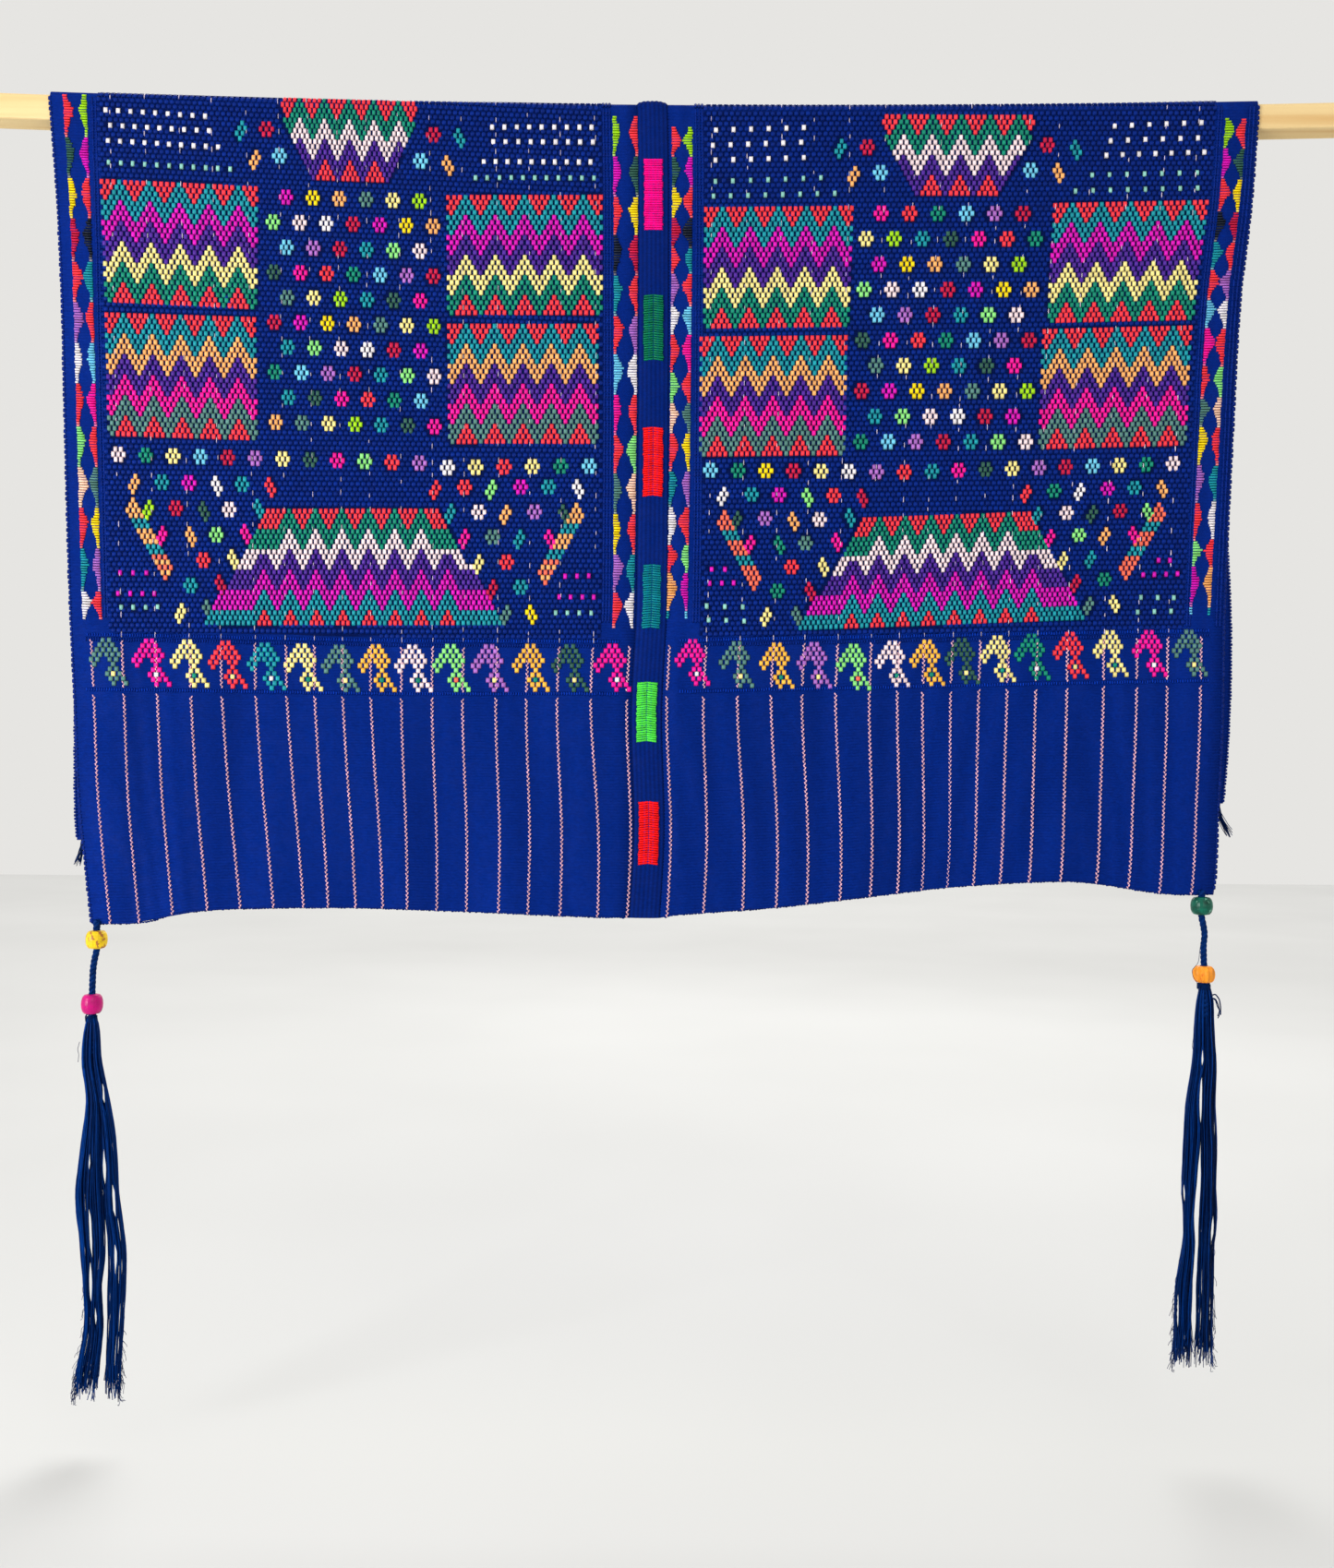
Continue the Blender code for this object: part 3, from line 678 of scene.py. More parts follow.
def make_panel(side, material):
    """One woven panel from hem to hem, its weft ribs raised."""
    node_name = f"panel_{SIDE_NAMES[side]}"
    rows = panel_rows(side, PANEL_SHARES)
    grid = np.stack([surface(x, down, lift) for x, down, lift, shade in rows])
    shades = np.stack([shade for x, down, lift, shade in rows]).reshape(-1, 1) * np.ones(3)
    numbers = np.arange(len(shades)).reshape(grid.shape[:2])
    a, b = numbers[:-1, :-1].ravel(), numbers[:-1, 1:].ravel()
    c, d = numbers[1:, 1:].ravel(), numbers[1:, :-1].ravel()
    faces = np.stack([a, b, c, d] if side > 0 else [a, d, c, b], axis=1)
    thing = new_mesh(node_name + "_cloth", grid.reshape(-1, 3), faces, material, shades)
    solid = thing.modifiers.new("thickness", "SOLIDIFY")
    solid.thickness = CLOTH_THICKNESS
    solid.offset = 0.0
    solid.use_even_offset = False
    thing.data.set_sharp_from_angle(angle=math.radians(12))
    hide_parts(node_name)
    return thing


# Brocade

Motif = namedtuple("Motif", "side x z pitch row tilt taper", defaults=(0.0, 0.0))
BLOCK_MIDDLE = 26         # the column that a taper narrows towards


class Brocade:
    """Stitches laid on the front: their plan places, sizes and yarns."""

    def __init__(self):
        self.stitches = []

    def lay(self, motif, column, row, yarn):
        """One stitch, its column in half pitches from the motif's first stitch."""
        self.stitches.append((*motif, column, row, *linear(yarn)))

    def chart(self, motif, chart, column, row, yarn, mirror=1):
        for across, down in chart:
            self.lay(motif, column + mirror * across, row + down, yarn)

    def arrays(self):
        """Side, x, level, pitch, row, tilt and colour of every stitch."""
        side, base_x, base_z, pitch, row, tilt, taper, column, number, *colours = np.array(self.stitches).T
        column = column - (column - BLOCK_MIDDLE) * taper * number
        x = base_x + column * pitch / 2
        level = base_z - number * row + tilt * (x - base_x)
        result = np.empty_like(x)
        for one in (-1, 1):
            here = side == one
            seam, outer = panel_edges(base_z[here], one)
            share = (x[here] - seam) / (outer - seam)
            share = share + flare(base_z[here], one, share, "front")
            result[here] = panel_x(level[here], one, share)
        return side, result, level, pitch, row, tilt, np.stack(colours, axis=1)


FLOWER = ((-1, 0), (1, 0), (-2, 1), (0, 1), (2, 1), (-1, 2), (1, 2))
LEAF = ((0, 0), (-1, 1), (1, 1), (0, 2), (2, 2), (1, 3))
BIRD = ((-3, -1), (-4, -2, 0), (-5, -3, -1, 1), (-6, -4, -2, 0, 2), (-7, -5, -1, 1),
        (-6, 0), (-1, 1), (-2, 2), (-1, 1, 3), (0, 4))
BIRD_EYE = (0, 7)
SERPENT = (("orange", (0,)), ("orange", (-1, 1)), ("orange", (-2, 0, 2)), ("orange", (-1, 1, 3)),
           ("teal", (0, 2, 4)), ("teal", (1, 3, 5)),
           ("orange", (2, 4, 6)), ("orange", (3, 5, 7)), ("orange", (4, 6, 8)),
           ("teal", (5, 7, 9)), ("teal", (6, 8, 10)),
           ("coral", (7, 9, 11)), ("orange", (8, 10, 12)), ("coral", (9, 11, 13)),
           ("orange", (10, 12)), ("coral", (11,)))
FLOWER_CYCLE = ("magenta", "crimson", "dark_green", "yellow", "teal", "hot_pink", "orange",
                "light_green", "red", "grey_green", "pale_pink", "green", "cream", "white",
                "light_blue", "lime", "crimson", "lilac", "teal")
UPPER_BANDS = ("red", "teal", "magenta", "purple", "cream", "green", "red")
LOWER_BANDS = ("red", "teal", "orange", "purple", "hot_pink", "grey_green", "red")
BOWL_BANDS = ("red", "green", "pale_pink", "purple", "red")
STEP_BANDS = ("red", "green", "pale_pink", "purple", "magenta", "teal", "red")


def zigzag(brocade, motif, bands, edges, apexes):
    """Bands of colour whose borders climb to an apex every five stitches."""
    for row, (left, right) in enumerate(edges):
        band, climb = divmod(row, 4)
        allowed = [apex for apex, first_row in apexes if row >= first_row]
        for column in range(left, right + 1):
            if (column + row) % 2:
                continue
            near = min(abs(column - apex) for apex in allowed)
            brocade.lay(motif, column, row, bands[band + 1 if near <= climb else band])


def make_blocks(brocade):
    """Eight rectangles of zigzag bands, two over two in each panel."""
    edges = [(0, 52) if row % 2 == 0 else (1, 51) for row in range(24)]
    apexes = [(apex, 0) for apex in (6, 16, 26, 36, 46)]
    blocks = (
        (Motif(-1, -0.4130, -0.0505, 0.00445, 0.00385, -0.040, 0.0015), UPPER_BANDS),
        (Motif(-1, -0.4085, -0.1505, 0.00425, 0.00385, -0.024), LOWER_BANDS),
        (Motif(-1, -0.1535, -0.0605, 0.00440, 0.00375, 0.008), UPPER_BANDS),
        (Motif(-1, -0.1520, -0.1570, 0.00425, 0.00375, 0.008), LOWER_BANDS),
        (Motif(1, 0.0395, -0.0680, 0.00420, 0.00380, 0.017), UPPER_BANDS),
        (Motif(1, 0.0370, -0.1650, 0.00415, 0.00375, 0.017), LOWER_BANDS),
        (Motif(1, 0.3010, -0.0630, 0.00435, 0.00375, 0.029, 0.0015), UPPER_BANDS),
        (Motif(1, 0.2935, -0.1575, 0.00420, 0.00375, 0.034), LOWER_BANDS),
    )
    for motif, bands in blocks:
        zigzag(brocade, motif, bands, edges, apexes)


def make_bowls(brocade):
    """The tapering zigzag at the top of each panel."""
    lefts = (0, -1, 0, 1, 0, 1, 2, 3, 4, 5, 6, 7, 8, 9, 10, 11)
    apexes = [(apex, 0) for apex in (6, 16, 26, 36, 46)]
    for motif, right in ((Motif(-1, -0.2765, 0.0120, 0.00370, 0.00385, -0.026), 52),
                         (Motif(1, 0.1745, 0.0025, 0.00430, 0.00380, 0.004), 50)):
        zigzag(brocade, motif, BOWL_BANDS, [(left, right - left) for left in lefts], apexes)


def make_bowl_sprays(brocade):
    """A crimson and a pale blue flower, a teal and an orange leaf on each side of a bowl."""
    sprays = (
        (-1, -1, (-0.2900, -0.0065), (-0.3080, -0.0060), (-0.2800, -0.0265), (-0.2975, -0.0280)),
        (-1, 1, (-0.1650, -0.0100), (-0.1465, -0.0105), (-0.1745, -0.0295), (-0.1550, -0.0310)),
        (1, -1, (0.1600, -0.0165), (0.1410, -0.0160), (0.1700, -0.0355), (0.1510, -0.0365)),
        (1, 1, (0.2950, -0.0140), (0.3155, -0.0155), (0.2825, -0.0330), (0.3025, -0.0330)),
    )
    for side, lean, crimson, teal, blue, orange in sprays:
        for place, chart, yarn in ((crimson, FLOWER, "crimson"), (teal, LEAF, "teal"),
                                   (blue, FLOWER, "light_blue"), (orange, LEAF, "orange")):
            brocade.chart(Motif(side, *place, PITCH, ROW), chart, 0, 0, yarn, lean)


def make_fields(brocade):
    """Staggered rows of little flowers between the blocks."""
    for motif in (Motif(-1, -0.2750, -0.0575, 0.00400, 0.00375, -0.020),
                  Motif(1, 0.1710, -0.0660, 0.00425, 0.00380, 0.006)):
        for row in range(10):
            count, first = (6, 0) if row % 2 == 0 else (7, -5)
            for number in range(count):
                colour = FLOWER_CYCLE[(row * 7 + number * 3 + (motif.side > 0) * 5) % len(FLOWER_CYCLE)]
                brocade.chart(motif, FLOWER, first + 10 * number, row * 5, colour)


def make_flower_rows(brocade):
    """The long row of flowers under the blocks."""
    rows = (
        (Motif(-1, -0.3990, -0.2510, 0.00410, 0.0038, -0.021),
         "pale_pink green cream light_blue crimson lilac cream dark_green hot_pink light_green red lilac"),
        (Motif(-1, -0.1525, -0.2590, 0.00425, 0.0038, 0.018), "white cream red cream green light_blue"),
        (Motif(1, 0.0445, -0.2595, 0.00415, 0.0037, -0.002),
         "light_blue green yellow crimson cream white lilac red"),
        (Motif(1, 0.2105, -0.2590, 0.00400, 0.0037, 0.040),
         "teal hot_pink dark_green cream lilac crimson light_blue cream green pale_pink"),
    )
    for motif, colours in rows:
        for number, colour in enumerate(colours.split()):
            brocade.chart(motif, FLOWER, 10 * number, 0, colour)


def make_steps(brocade):
    """The broad zigzag that widens downward, with leaves on its shoulders."""
    apexes = [(apex, 0) for apex in (6, 16, 26, 36, 46, 56)] + [(-4, 9), (66, 9)]
    leaves = ("teal", "hot_pink", "cream", "crimson", "grey_green")
    for motif, left, right, leaf_row in (
            (Motif(-1, -0.2825, -0.2965, 0.00395, 0.00380, 0.008), -2, 63, 0.00380),
            (Motif(1, 0.1600, -0.2995, 0.00385, 0.00360, 0.044), 0, 64, 0.00345)):
        edges = [(left - round(1.1 * row), right + round(1.05 * row)) for row in range(23)]
        zigzag(brocade, motif, STEP_BANDS, edges, apexes)
        beside = motif._replace(row=leaf_row)
        for number, colour in enumerate(leaves):
            row = 5 * number
            brocade.chart(motif, LEAF, -6 - row, row - 2, colour, 1)
            brocade.chart(beside, LEAF, 67.5 + 1.06 * row, row - 1, colour, -1)


def make_corners(brocade):
    """The triangles beside the steps; x marks a flower, o a leaf and O a leaf turned the other way."""
    near_plan = ("oxoxxO", "-xoxO", "-xoO", "-x", "-x", "-O")
    far_plan = ("oxoxxO", "-xoxO", "-xoO", "-o", "-x", "-O")
    corners = (
        (Motif(-1, -0.2860, -0.2730, 0.00400, 0.00385, -0.018), -1, near_plan,
         "red teal white magenta teal orange", "pale_pink dark_green crimson lime",
         "light_green orange hot_pink", "red", "teal", "cream"),
        (Motif(-1, -0.1605, -0.2740, 0.00420, 0.00375, 0.012), 1, near_plan,
         "red red light_green magenta teal white", "pale_pink orange lilac dark_green",
         "grey_green teal hot_pink", "red", "teal", "yellow"),
        (Motif(1, 0.1575, -0.2780, 0.0041, 0.00360, -0.006), -1, near_plan,
         "crimson red light_green magenta teal white", "pale_pink orange lilac dark_green",
         "grey_green green hot_pink", "red", "green", "cream"),
        (Motif(1, 0.2820, -0.2740, 0.00400, 0.00340, 0.044), 1, far_plan,
         "red green white magenta teal orange", "pale_pink dark_green crimson light_green",
         "light_green orange hot_pink", "teal", "green", "cream"),
    )
    for motif, outward, plan, *colours in corners:
        for row, (marks, names) in enumerate(zip(plan, colours)):
            names = names.split()
            for number, mark in enumerate(marks):
                if mark == "-":
                    continue
                chart = FLOWER if mark == "x" else LEAF
                lean = outward if mark == "O" else -outward
                column = outward * (5 * row + 10 * number - (1.5 if row == 5 else 0))
                brocade.chart(motif, chart, column, 5 * row, names.pop(0), lean)


def make_serpents(brocade):
    """Two slanting banded figures in each panel, leaning in towards the steps."""
    places = (
        (Motif(-1, -0.3875, -0.2890, 0.0042, 0.00385, -0.010), 1),
        (Motif(-1, -0.0555, -0.2905, 0.0042, 0.00385, 0.008), -1),
        (Motif(1, 0.0555, -0.2950, 0.0041, 0.00375, -0.006), 1),
        (Motif(1, 0.3805, -0.2865, 0.0041, 0.00360, 0.040), -1),
    )
    for motif, mirror in places:
        for row, (colour, columns) in enumerate(SERPENT):
            if motif.side > 0 and colour == "orange":
                colour = "coral"
            for column in columns:
                brocade.lay(motif, mirror * column, row, colour)


# Each bird: its first row's place, right above its eye, and its yarn
BIRDS = {
    -1: ((-0.4020, -0.3940, "grey_green"), (-0.3695, -0.3945, "hot_pink"), (-0.3410, -0.3950, "cream"),
         (-0.3125, -0.3955, "red"), (-0.2835, -0.3965, "teal"), (-0.2560, -0.3970, "cream"),
         (-0.2280, -0.3975, "grey_green"), (-0.2005, -0.3970, "amber"), (-0.1730, -0.3970, "pale_pink"),
         (-0.1445, -0.3965, "light_green"), (-0.1155, -0.3965, "lilac"), (-0.0845, -0.3960, "amber"),
         (-0.0550, -0.3960, "dark_green"), (-0.0230, -0.3955, "hot_pink")),
    1: ((0.0365, -0.3915, "hot_pink"), (0.0695, -0.3930, "grey_green"), (0.0995, -0.3935, "amber"),
        (0.1275, -0.3930, "lilac"), (0.1570, -0.3940, "light_green"), (0.1860, -0.3915, "pale_pink"),
        (0.2120, -0.3905, "amber"), (0.2380, -0.3890, "dark_green"), (0.2645, -0.3870, "cream"),
        (0.2900, -0.3855, "green"), (0.3185, -0.3840, "red"), (0.3485, -0.3825, "cream"),
        (0.3780, -0.3820, "hot_pink"), (0.4080, -0.3815, "grey_green")),
}
# The eye's yarn, where it isn't white
EYES = {"amber": "green", "cream": "green", "pale_pink": "green", "light_green": "coral",
        "lilac": "cream", "grey_green": "cream", "dark_green": "cream", "red": "cream"}


def make_birds(brocade):
    """The row of birds under the brocade, all facing right."""
    for side, pitch, row_height in ((-1, 0.00475, 0.00360), (1, 0.00440, 0.00350)):
        for x, level, colour in BIRDS[side]:
            motif = Motif(side, x, level, pitch, row_height, 0.008)
            for row, columns in enumerate(BIRD):
                for column in columns:
                    brocade.lay(motif, column, row, colour)
            brocade.lay(motif, *BIRD_EYE, EYES.get(colour, "white"))


# Rows of single stitches: their count, first and last place, and yarn
Dots = namedtuple("Dots", "side count x z end_x end_z yarn")
DOTS = [
    Dots(-1, 9, -0.4105, 0.0030, -0.3360, -0.0010, "white"),
    Dots(-1, 9, -0.4070, -0.0085, -0.3330, -0.0120, "white"),
    Dots(-1, 10, -0.4085, -0.0200, -0.3260, -0.0240, "white"),
    Dots(-1, 11, -0.4080, -0.0360, -0.3170, -0.0405, "mint"),
    Dots(-1, 9, -0.1210, -0.0075, -0.0465, -0.0070, "white"),
    Dots(-1, 9, -0.1200, -0.0185, -0.0455, -0.0180, "white"),
    Dots(-1, 10, -0.1270, -0.0335, -0.0470, -0.0330, "white"),
    Dots(-1, 11, -0.1330, -0.0455, -0.0445, -0.0450, "mint"),
    Dots(1, 6, 0.0465, -0.0085, 0.1125, -0.0060, "white"),
    Dots(1, 6, 0.0445, -0.0200, 0.1105, -0.0170, "white"),
    Dots(1, 6, 0.0465, -0.0310, 0.1125, -0.0285, "white"),
    Dots(1, 7, 0.0465, -0.0470, 0.1255, -0.0435, "mint"),
    Dots(1, 8, 0.0450, -0.0580, 0.1360, -0.0550, "mint"),
    Dots(1, 6, 0.3450, -0.0030, 0.4100, 0.0000, "white"),
    Dots(1, 6, 0.3420, -0.0140, 0.4075, -0.0115, "white"),
    Dots(1, 7, 0.3390, -0.0250, 0.4125, -0.0220, "white"),
    Dots(1, 7, 0.3285, -0.0400, 0.4070, -0.0375, "mint"),
    Dots(1, 8, 0.3160, -0.0520, 0.4075, -0.0490, "mint"),
    Dots(-1, 3, -0.3965, -0.3435, -0.3770, -0.3435, "magenta"),
    Dots(-1, 4, -0.3980, -0.3590, -0.3705, -0.3590, "magenta"),
    Dots(-1, 4, -0.3955, -0.3695, -0.3680, -0.3690, "mint"),
    Dots(-1, 3, -0.0635, -0.3435, -0.0460, -0.3430, "magenta"),
    Dots(-1, 4, -0.0680, -0.3590, -0.0420, -0.3590, "magenta"),
    Dots(-1, 4, -0.0705, -0.3710, -0.0440, -0.3710, "mint"),
    Dots(1, 2, 0.0460, -0.3375, 0.0560, -0.3375, "magenta"),
    Dots(1, 3, 0.0445, -0.3480, 0.0625, -0.3475, "magenta"),
    Dots(1, 3, 0.0425, -0.3650, 0.0695, -0.3655, "mint"),
    Dots(1, 3, 0.0440, -0.3755, 0.0705, -0.3760, "mint"),
    Dots(1, 2, 0.3805, -0.3280, 0.3890, -0.3280, "magenta"),
    Dots(1, 4, 0.3690, -0.3390, 0.3945, -0.3380, "magenta"),
    Dots(1, 3, 0.3675, -0.3560, 0.3920, -0.3560, "mint"),
    Dots(1, 3, 0.3650, -0.3670, 0.3900, -0.3660, "mint"),
]
DOT_PITCHES = {"white": 0.0045, "mint": 0.0040, "magenta": 0.0040}


def make_dots(brocade):
    for dots in DOTS:
        pitch = DOT_PITCHES[dots.yarn]
        for number in range(dots.count):
            share = number / (dots.count - 1)
            x = dots.x + share * (dots.end_x - dots.x)
            level = dots.z + share * (dots.end_z - dots.z)
            brocade.lay(Motif(dots.side, x, level, pitch, ROW, 0.0), 0, 0, dots.yarn)


def make_coloured_stitches(brocade, material):
    """Every coloured stitch is a short plump float, in one mesh a panel."""
    side, x, level, pitch, row, tilt, colours = brocade.arrays()
    rng = np.random.default_rng(SEED)
    made = []
    for one in (-1, 1):
        here = np.nonzero(side == one)[0]
        across = x[here] + rng.normal(0, 0.00010, len(here))
        size = (pitch[here, None] * rng.uniform(0.72, 0.80, (len(here), 1)),
                row[here, None] * rng.uniform(0.58, 0.64, (len(here), 1)),
                0.0011 * rng.uniform(0.85, 1.1, (len(here), 1)))
        batch = Batch()
        batch.sew(STITCH, across, down_at(across, level[here]), size, uneven(rng, colours[here]),
                  lean=-tilt[here, None], dark=0.12)
        thing = batch.build(f"brocade_{SIDE_NAMES[one]}", material)
        made.append(thing)
    return made, (x, level)


def clear_of(taken, x, level, reach):
    """Which places are farther than reach from every stitch taken."""
    tree = KDTree(len(taken[0]))
    for number, (stitch_x, stitch_level) in enumerate(zip(*taken)):
        tree.insert(Vector((stitch_x, stitch_level * PITCH / ROW, 0)), number)
    tree.balance()
    return np.array([tree.find(Vector((a, b * PITCH / ROW, 0)))[2] > reach for a, b in zip(x, level)], bool)


def make_ground(side, taken, material):
    """The blue brick lattice of the brocaded cloth, left out under coloured stitches."""
    rng = np.random.default_rng(SEED + side)
    seam, outer = panel_edges(-0.2, side)
    step = PITCH / abs(outer - seam)
    shares = np.arange(GROUND_SHARES[0], GROUND_SHARES[1], step)
    places = []
    for row in range(GROUND_ROWS):
        centre = GROUND_TOP - row * ROW
        share = shares + (step / 2 if row % 2 else 0.0)
        x = panel_x(centre, side, share)
        level = centre + read_table(TILTS, SIDE_NAMES[side], centre) * (x - TILTS_ABOUT[side])
        keep = (level > dash_level(side, 0, x) + BRICK_GAP) & (share < GROUND_SHARES[1])
        places.append(np.stack([x[keep], level[keep]]))
    x, level = np.concatenate(places, axis=1)
    clear = clear_of(taken, x, level, BRICK_REACH)
    x, level = x[clear], level[clear]
    batch = Batch()
    shade = uneven(rng, linear("blue"), 0.85, 1.15, len(x))
    batch.sew(LOW_STITCH, x, down_at(x, level), BRICK, shade, dark=0.62, light=0.0)
    add_border_ribs(batch, side, rng)
    add_dash_lines(batch, side, rng)
    thing = batch.build(f"ground_{SIDE_NAMES[side]}", material)
    return thing


def add_border_ribs(batch, side, rng):
    """Lengthwise ribs where the brocaded ground gives way to the plain borders."""
    for share in BORDER_RIB_SHARES[side]:
        level = np.arange(0.010, -0.378, -BORDER_RIB_STEP)
        x = panel_x(level, side, share) + rng.normal(0, 0.00008, len(level))
        shade = uneven(rng, linear("blue"), 0.9, 1.15, len(x))
        batch.sew(LOW_STITCH, x, down_at(x, level), BORDER_RIB, shade, upright=True, dark=0.55, light=0.0)


def add_dash_lines(batch, side, rng):
    """Short upright blue floats in close rows, over and under the birds."""
    seam, outer = panel_edges(-0.4, side)
    step = LINE_FLOAT_STEP / abs(outer - seam)
    for number, rises in ((0, (0.0004, -0.0030)), (1, (0.0002,))):
        for row, rise in enumerate(rises):
            x = panel_x(-0.4, side, np.arange(0.03, 0.975, step) + (step / 2 if row % 2 else 0.0))
            level = dash_level(side, number, x) + rise + rng.normal(0, 0.00015, len(x))
            # Painted highlight: the floats are painted 1.5 to 2.5 times lighter than their blue yarn, the
            # second row less so.
            shade = uneven(rng, linear("blue"), 1.5, 2.5, len(x)) * (0.65 if row else 1.0)
            batch.sew(BUMP, x, down_at(x, level), LINE_FLOAT, shade, upright=True, dark=0.2, light=0.0)


# Stripes


def stripe_share(stripe, level):
    """A stripe's share of its panel at a level."""
    upper, lower = stripe
    return upper + (lower - upper) * np.clip((STRIPES_FROM - level) / 0.155, 0.0, 1.0)


def make_stripes(side, taken, material):
    """Pink warp stripes: two yarns side by side, seen as small slanting bumps."""
    rng = np.random.default_rng(SEED * 3 + side)
    batch = Batch()
    pink = linear("pink")
    for stripe in STRIPES[side]:
        share = stripe[0]
        x = panel_x(-0.5, side, np.array([share]))[0]
        hem = float(read_table(HEMS, "front", side * stripe[1]))
        upper, lower = dash_level(side, 0, x), dash_level(side, 1, x)
        level = np.arange(hem + STRIPE_BUMP_STEP / 2, upper - STRIPE_GAP, STRIPE_BUMP_STEP)
        column = np.where(np.arange(len(level)) % 2, 1.0, -1.0)
        x = panel_x(level, side, stripe_share(stripe, level)) + column * STRIPE_HALF
        broken = np.abs(level - lower + STRIPE_BUMP_STEP / 2) <= STRIPE_BREAK
        shown = clear_of(taken, x, level, STRIPE_REACH) & ~broken
        x = x[shown] + rng.normal(0, 0.00008, np.count_nonzero(shown))
        # Painted highlight on each bump's top and painted shade at its low edges.
        batch.sew(BUMP, x, down_at(x, level[shown]), STRIPE_BUMP, uneven(rng, pink, 0.72, 1.15, len(x)),
                  upright=True, lean=-STRIPE_SLANT * column[shown, None], dark=0.55, light=0.1)
        hem = float(read_table(HEMS, "back", side * share))
        count = int((abs(hem) + 0.01) / BACK_BUMP_STEP)
        level = hem + (0.014 - hem) * (np.arange(count) + 0.5) / count
        x = panel_x(level, side, share, "back")
        batch.sew(SEED_SHAPE, x, down_at(x, level, "back"), BACK_BUMP, uneven(rng, pink, 0.6, 1.1, len(x)),
                  upright=True, dark=0.25, light=0.15)
        if GROUND_SHARES[0] < share < GROUND_SHARES[1]:
            add_dashes(batch, side, share, upper + 0.006, rng)
    thing = batch.build(f"stripes_{SIDE_NAMES[side]}", material)
    return thing


def add_dashes(batch, side, share, lowest, rng):
    """Where a stripe comes up through the brocade in thin pale dashes."""
    level = np.arange(0.012, lowest, -PALE_DASH_STEP)
    level = level + rng.normal(0, 0.0018, len(level))
    level = level[rng.random(len(level)) < PALE_DASH_CHANCE]
    level = np.append(level, lowest - 0.005)
    x = panel_x(level, side, share) + rng.normal(0, 0.00025, len(level))
    length = rng.uniform(0.0038, 0.0062, (len(level), 1))
    batch.sew(BUMP, x, down_at(x, level), (length, 0.00038, 0.0014),
              uneven(rng, linear("pale_lilac"), 0.7, 1.05, len(level)), upright=True, dark=0.6, light=0.0)


# Border leaves

Column = namedtuple("Column", "side share_top share_bottom first last bulge lengths yarns")
LEFT_OUTER = (45,) * 12 + (32,)
LEFT_INNER = (43,) * 12 + (37,)
RIGHT_INNER = (33, 33, 33, 33, 27, 34, 32, 42, 33, 31, 41, 40, 42, 30, 41, 9)
RIGHT_OUTER = (33, 33, 35, 32, 31, 32, 31, 42, 34, 31, 41, 41, 41, 30, 42, 10)
A_YARNS = ("lime magenta red navy teal red light_blue hot_pink red grey_green yellow lilac red "
           "light_green magenta light_blue")
B_YARNS = ("red dark_green yellow crimson red lilac white red light_green peach red teal white "
           "red orange teal")
COLUMNS = [
    Column(-1, 0.9810, 0.9785, 0.0137, -0.3793, 1, LEFT_OUTER, B_YARNS),
    Column(-1, 0.9465, 0.9440, 0.0137, -0.3793, -1, LEFT_OUTER, A_YARNS),
    Column(-1, 0.0445, 0.0430, 0.0007, -0.3815, 1, LEFT_INNER, A_YARNS),
    Column(-1, 0.0006, 0.0058, 0.0007, -0.3815, -1, LEFT_INNER, B_YARNS),
    Column(1, 0.0075, 0.0012, -0.0070, -0.3754, 1, RIGHT_INNER, B_YARNS),
    Column(1, 0.0430, 0.0385, -0.0070, -0.3754, -1, RIGHT_INNER, A_YARNS),
    Column(1, 0.9455, 0.9370, 0.0028, -0.3693, 1, RIGHT_OUTER, A_YARNS),
    Column(1, 0.9810, 0.9750, 0.0024, -0.3693, -1, RIGHT_OUTER, B_YARNS),
]
LEAF_NARROW = 0.0020
LEAF_START = 0.0032
LEAF_WIDE = (0.0056, 0.0078)
LEAF_WIDEST_AT = 0.36     # as shares of a leaf's length
LEAF_TIP_FROM = 0.86
LEAF_TIP_WHITE = 0.30
THREAD_PITCH = 0.0019


def make_borders(material):
    """Columns of satin leaves, each straight on one side and swelling on the other."""
    rng = np.random.default_rng(SEED + 20)
    batch = Batch()
    for column in COLUMNS:
        level = np.arange(column.first, column.last, -THREAD_PITCH)
        share = (level - column.first) / (column.last - column.first)
        ends = np.cumsum(column.lengths) / np.sum(column.lengths)
        starts = np.concatenate([[0.0], ends[:-1]])
        number = np.minimum(np.searchsorted(ends, share, side="right"), len(ends) - 1)
        within = (share - starts[number]) / (ends[number] - starts[number])
        wide = rng.uniform(*LEAF_WIDE, len(ends))[number]
        swelling = smooth_step(within / LEAF_WIDEST_AT)
        narrowing = smooth_step((1 - within) / (1 - LEAF_WIDEST_AT)) ** 1.4
        width = np.where(within < LEAF_WIDEST_AT, LEAF_START + (wide - LEAF_START) * swelling,
                         LEAF_NARROW + (wide - LEAF_NARROW) * narrowing)
        short = np.array(column.lengths)[number] < 15
        width = np.where(short, LEAF_NARROW, width) * rng.uniform(0.86, 1.12, len(level))
        spine = panel_x(level, column.side,
                        column.share_top + share * (column.share_bottom - column.share_top))
        x = spine + column.bulge * width / 2 + rng.normal(0, 0.00018, len(level))
        yarns = np.array([linear(name) for name in column.yarns.split()])
        colours = yarns[np.minimum(number, len(yarns) - 1)]
        tip = np.clip((within - LEAF_TIP_FROM) / (1 - LEAF_TIP_FROM), 0, 1)[:, None] * LEAF_TIP_WHITE
        colours = uneven(rng, colours * (1 - tip) + linear("white") * tip)
        batch.sew(FLOAT, x, down_at(x, level), (width[:, None], THREAD_PITCH * 0.54, 0.0011),
                  colours, dark=0.6)
    thing = batch.build("border_leaves", material)


# Join

